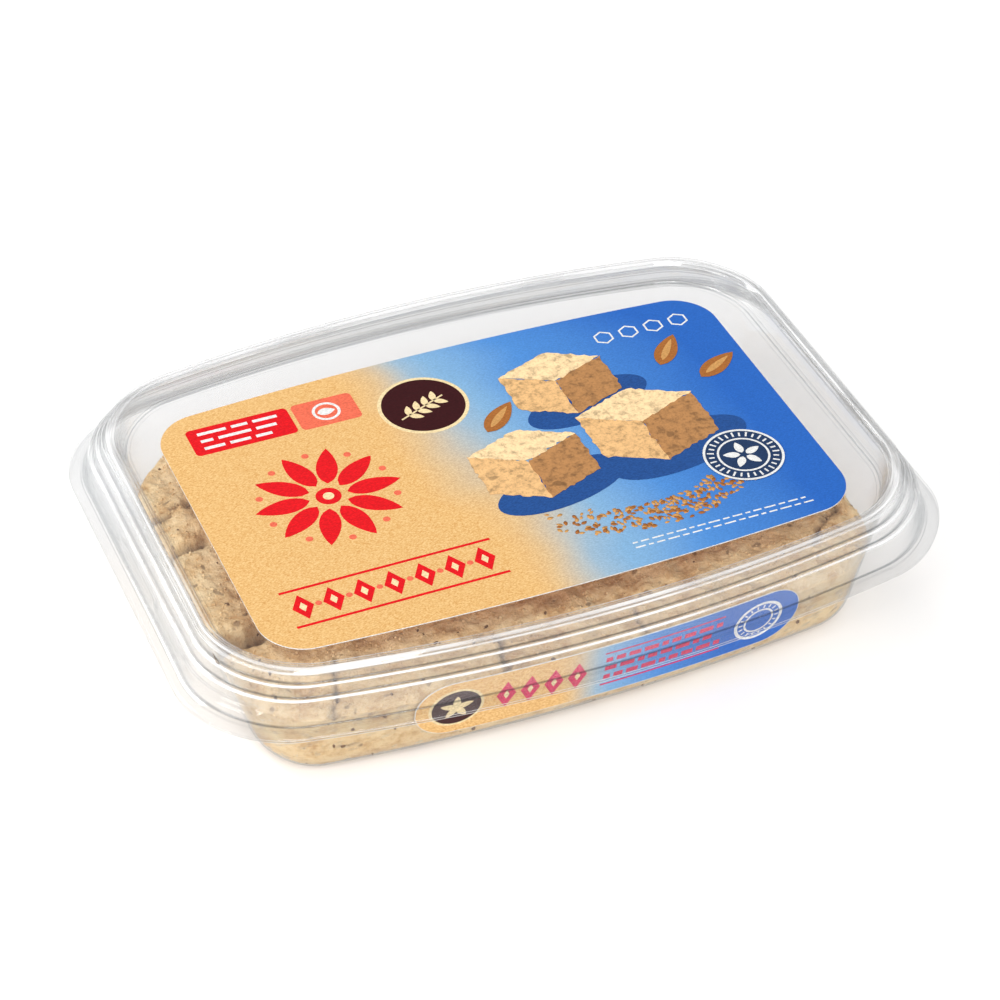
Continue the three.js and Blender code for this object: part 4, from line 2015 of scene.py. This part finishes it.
@dataclass
class SideSticker:
    """The long sticker with round ends on the tub's front wall."""

    plan: PackPlan
    sections: PackSections
    left: float = -42.5
    right: float = 51.8
    bottom: float = 7.7
    top: float = 25.5
    lift: float = 0.15
    thickness: float = 0.2
    margin: float = 0.15
    field_height: float = 0.02
    columns: int = 60
    end_steps: int = 12

    @property
    def middle(self) -> float:
        """Height of the sticker's middle line."""
        return (self.top + self.bottom) / 2

    def on_wall(self, x: float, z: float, out: float) -> tuple[float, float, float]:
        """Finds a point on or above the front wall.

        Args:
            x: Its X.
            z: Its height.
            out: Its distance from the tub's outer face.

        Returns:
            The point.
        """
        away = (self.sections.sheet + out) / math.cos(self.sections.wall_draft)
        inset = self.sections.wall_inset(z) - away
        outline = self.plan.outline(inset)
        return (x, -(outline.half_width + outline.bow * (1 - (x / outline.reach) ** 2)), z)

    def point(self, u: float, v: float, height: float) -> tuple[float, float, float]:
        """A point above the printed field, v from the middle line up."""
        return self.on_wall(u, self.middle + v, self.lift + self.thickness + self.field_height + height)

    def strip(
        self, name: str, inset: float, low: float, high: float, material: bpy.types.Material
    ) -> bpy.types.Object:
        """Makes a strip with round ends on the wall.

        Args:
            name: The piece's name.
            inset: How far its edge is inside the sticker's.
            low: Distance of its inner face from the wall.
            high: Distance of its outer face from the wall.
            material: Its finish.

        Returns:
            The piece.
        """
        half = (self.top - self.bottom) / 2 - inset
        start, end = self.left + inset + half, self.right - inset - half
        columns = []
        for i in range(1, self.end_steps + 1):
            turn = i / self.end_steps * math.pi / 2
            columns.append((start - half * math.cos(turn), half * math.sin(turn)))
        columns += [(start + (end - start) * i / self.columns, half) for i in range(1, self.columns)]
        columns += [(start + end - x, reach) for x, reach in reversed(columns[: self.end_steps])]
        rows = 6
        loop = [-1 + 2 * j / rows for j in range(rows + 1)]
        rings = []
        for x, reach in columns:
            outer = [self.on_wall(x, self.middle + share * reach, high) for share in loop]
            inner = [self.on_wall(x, self.middle + share * reach, low) for share in reversed(loop)]
            rings.append(np.array(outer + inner))
        piece = make_piece(name, *stacked_rings(rings), smooth=False)
        piece.data.materials.append(material)
        return piece

    def draw(self, ink: Print) -> None:
        """Draws the sticker's generic design.

        Args:
            ink: The print.
        """
        badge = (-33.0, 0.0)
        ink.add(Ink.CREAM, disc(6.4, 48, 3).moved(badge))
        ink.add(Ink.BROWN, disc(5.7, 48, 3).moved(badge), 3)
        for i in range(5):
            turn = math.pi / 2 + 2 * math.pi * i / 5
            ink.add(Ink.CREAM, petal(4.0, 1.8).moved(badge, turn), 5)
        for i in range(4):
            centre = (-21.5 + 5.6 * i, 0.6)
            ink.add(Ink.ROSE, lozenge(2.3, 4.6).moved(centre))
            ink.add(Ink.CREAM, lozenge(0.7, 1.5).moved(centre), 3)
        for v in (6.0, -5.4):
            ink.add(Ink.ROSE, bar(30.0, 0.45, 2.5).moved((1.5, v)))
        for row in range(3):
            u = 2.0
            for i in range(9):
                length = 1.6 + 1.9 * ((5 * i + 2 * row) % 4) / 3
                if u + length < 31.5:
                    ink.add(Ink.ROSE, bar(length, 1.5, 2.5).moved((u, 3.5 - 3.1 * row)))
                u += length + 0.9
        seal = (41.0, 0.0)
        ink.add(Ink.WHITE, hoop(6.3, 5.5).moved(seal))
        ink.add(Ink.WHITE, hoop(3.9, 3.4).moved(seal))
        ticks = 18
        for i in range(ticks):
            turn = 2 * math.pi * i / ticks
            start = (seal[0] + 4.2 * math.cos(turn), seal[1] + 4.2 * math.sin(turn))
            ink.add(Ink.WHITE, bar(1.0, 0.4).moved(start, turn))

    def build(self, paper: bpy.types.Material, fade: bpy.types.Material) -> None:
        """Makes the paper and its printed field.

        Args:
            paper: Finish of the paper.
            fade: Finish of the printed field.
        """
        face = self.lift + self.thickness
        sheet = self.strip("side_label_paper", 0.0, self.lift, face, paper)
        place_piece(sheet, Slot.SIDE_LABEL, "front_label")
        printed = self.strip("side_label_field", self.margin, face, face + self.field_height, fade)
        place_piece(printed, Slot.SIDE_LABEL)


@dataclass
class Studio:
    """The floor, the lights and the camera at the photograph's angle."""

    azimuth: float = -22.948
    elevation: float = 39.013
    roll: float = 0.328
    distance: float = 727.94
    target: tuple[float, float, float] = (2.042, 5.115, 20.0)
    focal_share: float = 3.09406
    sensor: float = 36.0

    def camera(self) -> None:
        """Makes the camera from the angles, the distance and the focal length fitted."""
        azimuth, elevation, roll = (math.radians(a) for a in (self.azimuth, self.elevation, self.roll))
        back = Vector((
            math.sin(azimuth) * math.cos(elevation),
            -math.cos(azimuth) * math.cos(elevation),
            math.sin(elevation),
        ))
        right = Vector((math.cos(azimuth), math.sin(azimuth), 0.0))
        up = back.cross(right)
        right, up = (
            right * math.cos(roll) + up * math.sin(roll),
            up * math.cos(roll) - right * math.sin(roll),
        )
        data = bpy.data.cameras.new("photo_camera")
        data.sensor_width = self.sensor
        data.lens = self.focal_share * self.sensor
        data.clip_start = 0.01
        camera = bpy.data.objects.new("photo_camera", data)
        turn = Matrix((right, up, back)).transposed().to_4x4()
        place = (Vector(self.target) + back * self.distance) * MM
        camera.matrix_world = Matrix.Translation(place) @ turn
        bpy.context.scene.collection.objects.link(camera)
        bpy.context.scene.camera = camera

    def light(self, name: str, place: tuple[float, float, float], size: float, power: float) -> None:
        """Adds a soft square lamp that faces the pack.

        Args:
            name: Its name.
            place: Its place in metres.
            size: Its side in metres.
            power: Its power in watts.
        """
        data = bpy.data.lights.new(name, "AREA")
        data.size = size
        data.energy = power
        lamp = bpy.data.objects.new(name, data)
        lamp.location = place
        towards = Vector((0.0, 0.0, 0.02)) - Vector(place)
        lamp.rotation_euler = towards.to_track_quat("-Z", "Y").to_euler()
        bpy.context.scene.collection.objects.link(lamp)

    def world(self) -> None:
        """Makes a pale surround that is brighter overhead and in front than at the back."""
        world = bpy.data.worlds.new("studio")
        bpy.context.scene.world = world
        world.use_nodes = True
        nodes = NodeTree(world.node_tree)
        nodes.tree.nodes.clear()
        place = nodes.add("ShaderNodeTexCoord").outputs["Generated"]
        axes = nodes.add("ShaderNodeSeparateXYZ", Vector=place).outputs
        shade = nodes.ramp(
            axes["Z"], ((0.0, (0.72, 0.72, 0.72)), (0.35, (0.84, 0.84, 0.84)), (0.8, (0.95, 0.95, 0.95)))
        )
        front = nodes.add(
            "ShaderNodeMapRange", Value=axes["Y"], From_Min=0.6, From_Max=-0.6, To_Min=0.38, To_Max=0.80
        ).outputs[0]
        sky = nodes.add("ShaderNodeBackground", Color=shade, Strength=front)
        out = nodes.add("ShaderNodeOutputWorld")
        nodes.feed(out.inputs["Surface"], sky.outputs[0])

    def floor(self) -> None:
        """Makes the pale floor just under the pack."""
        reach = 4.0
        height = -5e-5
        data = bpy.data.meshes.new("floor")
        corners = [(x * reach, y * reach, height) for x, y in ((-1, -1), (1, -1), (1, 1), (-1, 1))]
        data.from_pydata(corners, [], [(0, 1, 2, 3)])
        floor = bpy.data.objects.new("floor", data)
        bpy.context.scene.collection.objects.link(floor)
        material, nodes, out = new_material("floor_paper")
        shader = nodes.add("ShaderNodeBsdfDiffuse", Color=(0.93, 0.93, 0.93, 1.0))
        nodes.feed(out.inputs["Surface"], shader.outputs[0])
        data.materials.append(material)

    def build(self) -> None:
        """Makes the whole studio."""
        scene = bpy.context.scene
        scene.view_settings.view_transform = "Standard"
        scene.cycles.max_bounces = 9
        scene.cycles.transmission_bounces = 2
        scene.cycles.transparent_max_bounces = 24
        scene.cycles.use_denoising = True
        self.camera()
        self.world()
        self.floor()
        self.light("key", place=(-0.45, 0.6, 0.8), size=0.35, power=3.0)
        self.light("front", place=(-0.5, -2.1, 2.4), size=1.6, power=66.0)
        self.light("side", place=(-1.1, -0.2, 0.5), size=0.4, power=5.0)


def ink_finish(ink: Ink) -> bpy.types.Material:
    """Makes the finish of one ink. The inks of the pictured halva are mottled like crumbs.

    Args:
        ink: The ink.

    Returns:
        Its material.
    """
    name = f"ink_{ink.name.lower()}"
    if not ink.name.startswith("CAKE"):
        return PlainFinish(name, ink.value).build()
    return CrumbFinish(
        name,
        pale=tuple(min(1.0, 1.2 * channel) for channel in ink.value),
        middle=ink.value,
        deep=tuple(0.55 * channel for channel in ink.value),
        hollow=tuple(0.35 * channel for channel in ink.value),
        roughness=0.42,
        crumb_scale=900.0,
        mottle_scale=420.0,
        bump=0.05,
    ).build()


def main() -> None:
    """Builds the pack in order and dresses it."""
    logging.basicConfig(level=logging.INFO, format="%(message)s")
    noise.seed_set(NOISE_SEED)
    Studio().build()
    lid_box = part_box("lid")
    plan = PackPlan(half_length=(lid_box[1][0] - lid_box[0][0]) / 2 / MM)
    sections = PackSections()
    clear = ClearSheet().build()
    crumb = CrumbFinish().build()
    glow = (0.70, 0.50, 0.31)
    paper = PlainFinish("label_paper", (0.86, 0.85, 0.82), through=glow).build()
    inks = {ink: ink_finish(ink) for ink in Ink}

    block = HalvaBlock(replace(plan, detail=2), sections)
    halva = block.build(crumb)
    place_piece(halva, Slot.HALVA, "halva")
    fleck = PlainFinish("halva_fleck", (0.19, 0.10, 0.05), 0.7).build()
    block.strew(halva, crumb, fleck)

    lid_marks = (
        PressedMark((-89.5, -3.0), half_length=11.0, station=6.2, half_height=1.5, depth=0.75),
        PressedMark((-86.5, -47.0), half_length=11.5, station=6.2, half_height=1.5, depth=0.75),
        PressedMark((68.3, -58.2), half_length=1.6, station=1.5, half_height=1.1, depth=-0.8),
    )
    lid = FormedSheet("lid_shell", plan, sections.lid_face(), marks=lid_marks).build(clear)
    place_piece(lid, Slot.CLEAR, "lid")
    tub = FormedSheet("tub_shell", plan, sections.tub_face(), longest_step=2.0).build(clear)
    place_piece(tub, Slot.CLEAR, "tub")

    label = LidLabel(sections)
    label.build(paper, SkyFadeFinish("lid_label_fade", -0.022, 0.080, 0.18, through=glow).build())
    lid_print = Print("lid_label", label.point, Slot.LID_LABEL)
    label.draw(lid_print)
    lid_print.build(inks)
    label.strew_seeds(lid_print, inks)

    sticker = SideSticker(plan, sections)
    sticker.build(paper, SkyFadeFinish("side_label_fade", -0.014, 0.050, 0.0).build())
    side_print = Print("side_label", sticker.point, Slot.SIDE_LABEL)
    sticker.draw(side_print)
    side_print.build(inks)


if __name__ == "__main__":
    main()
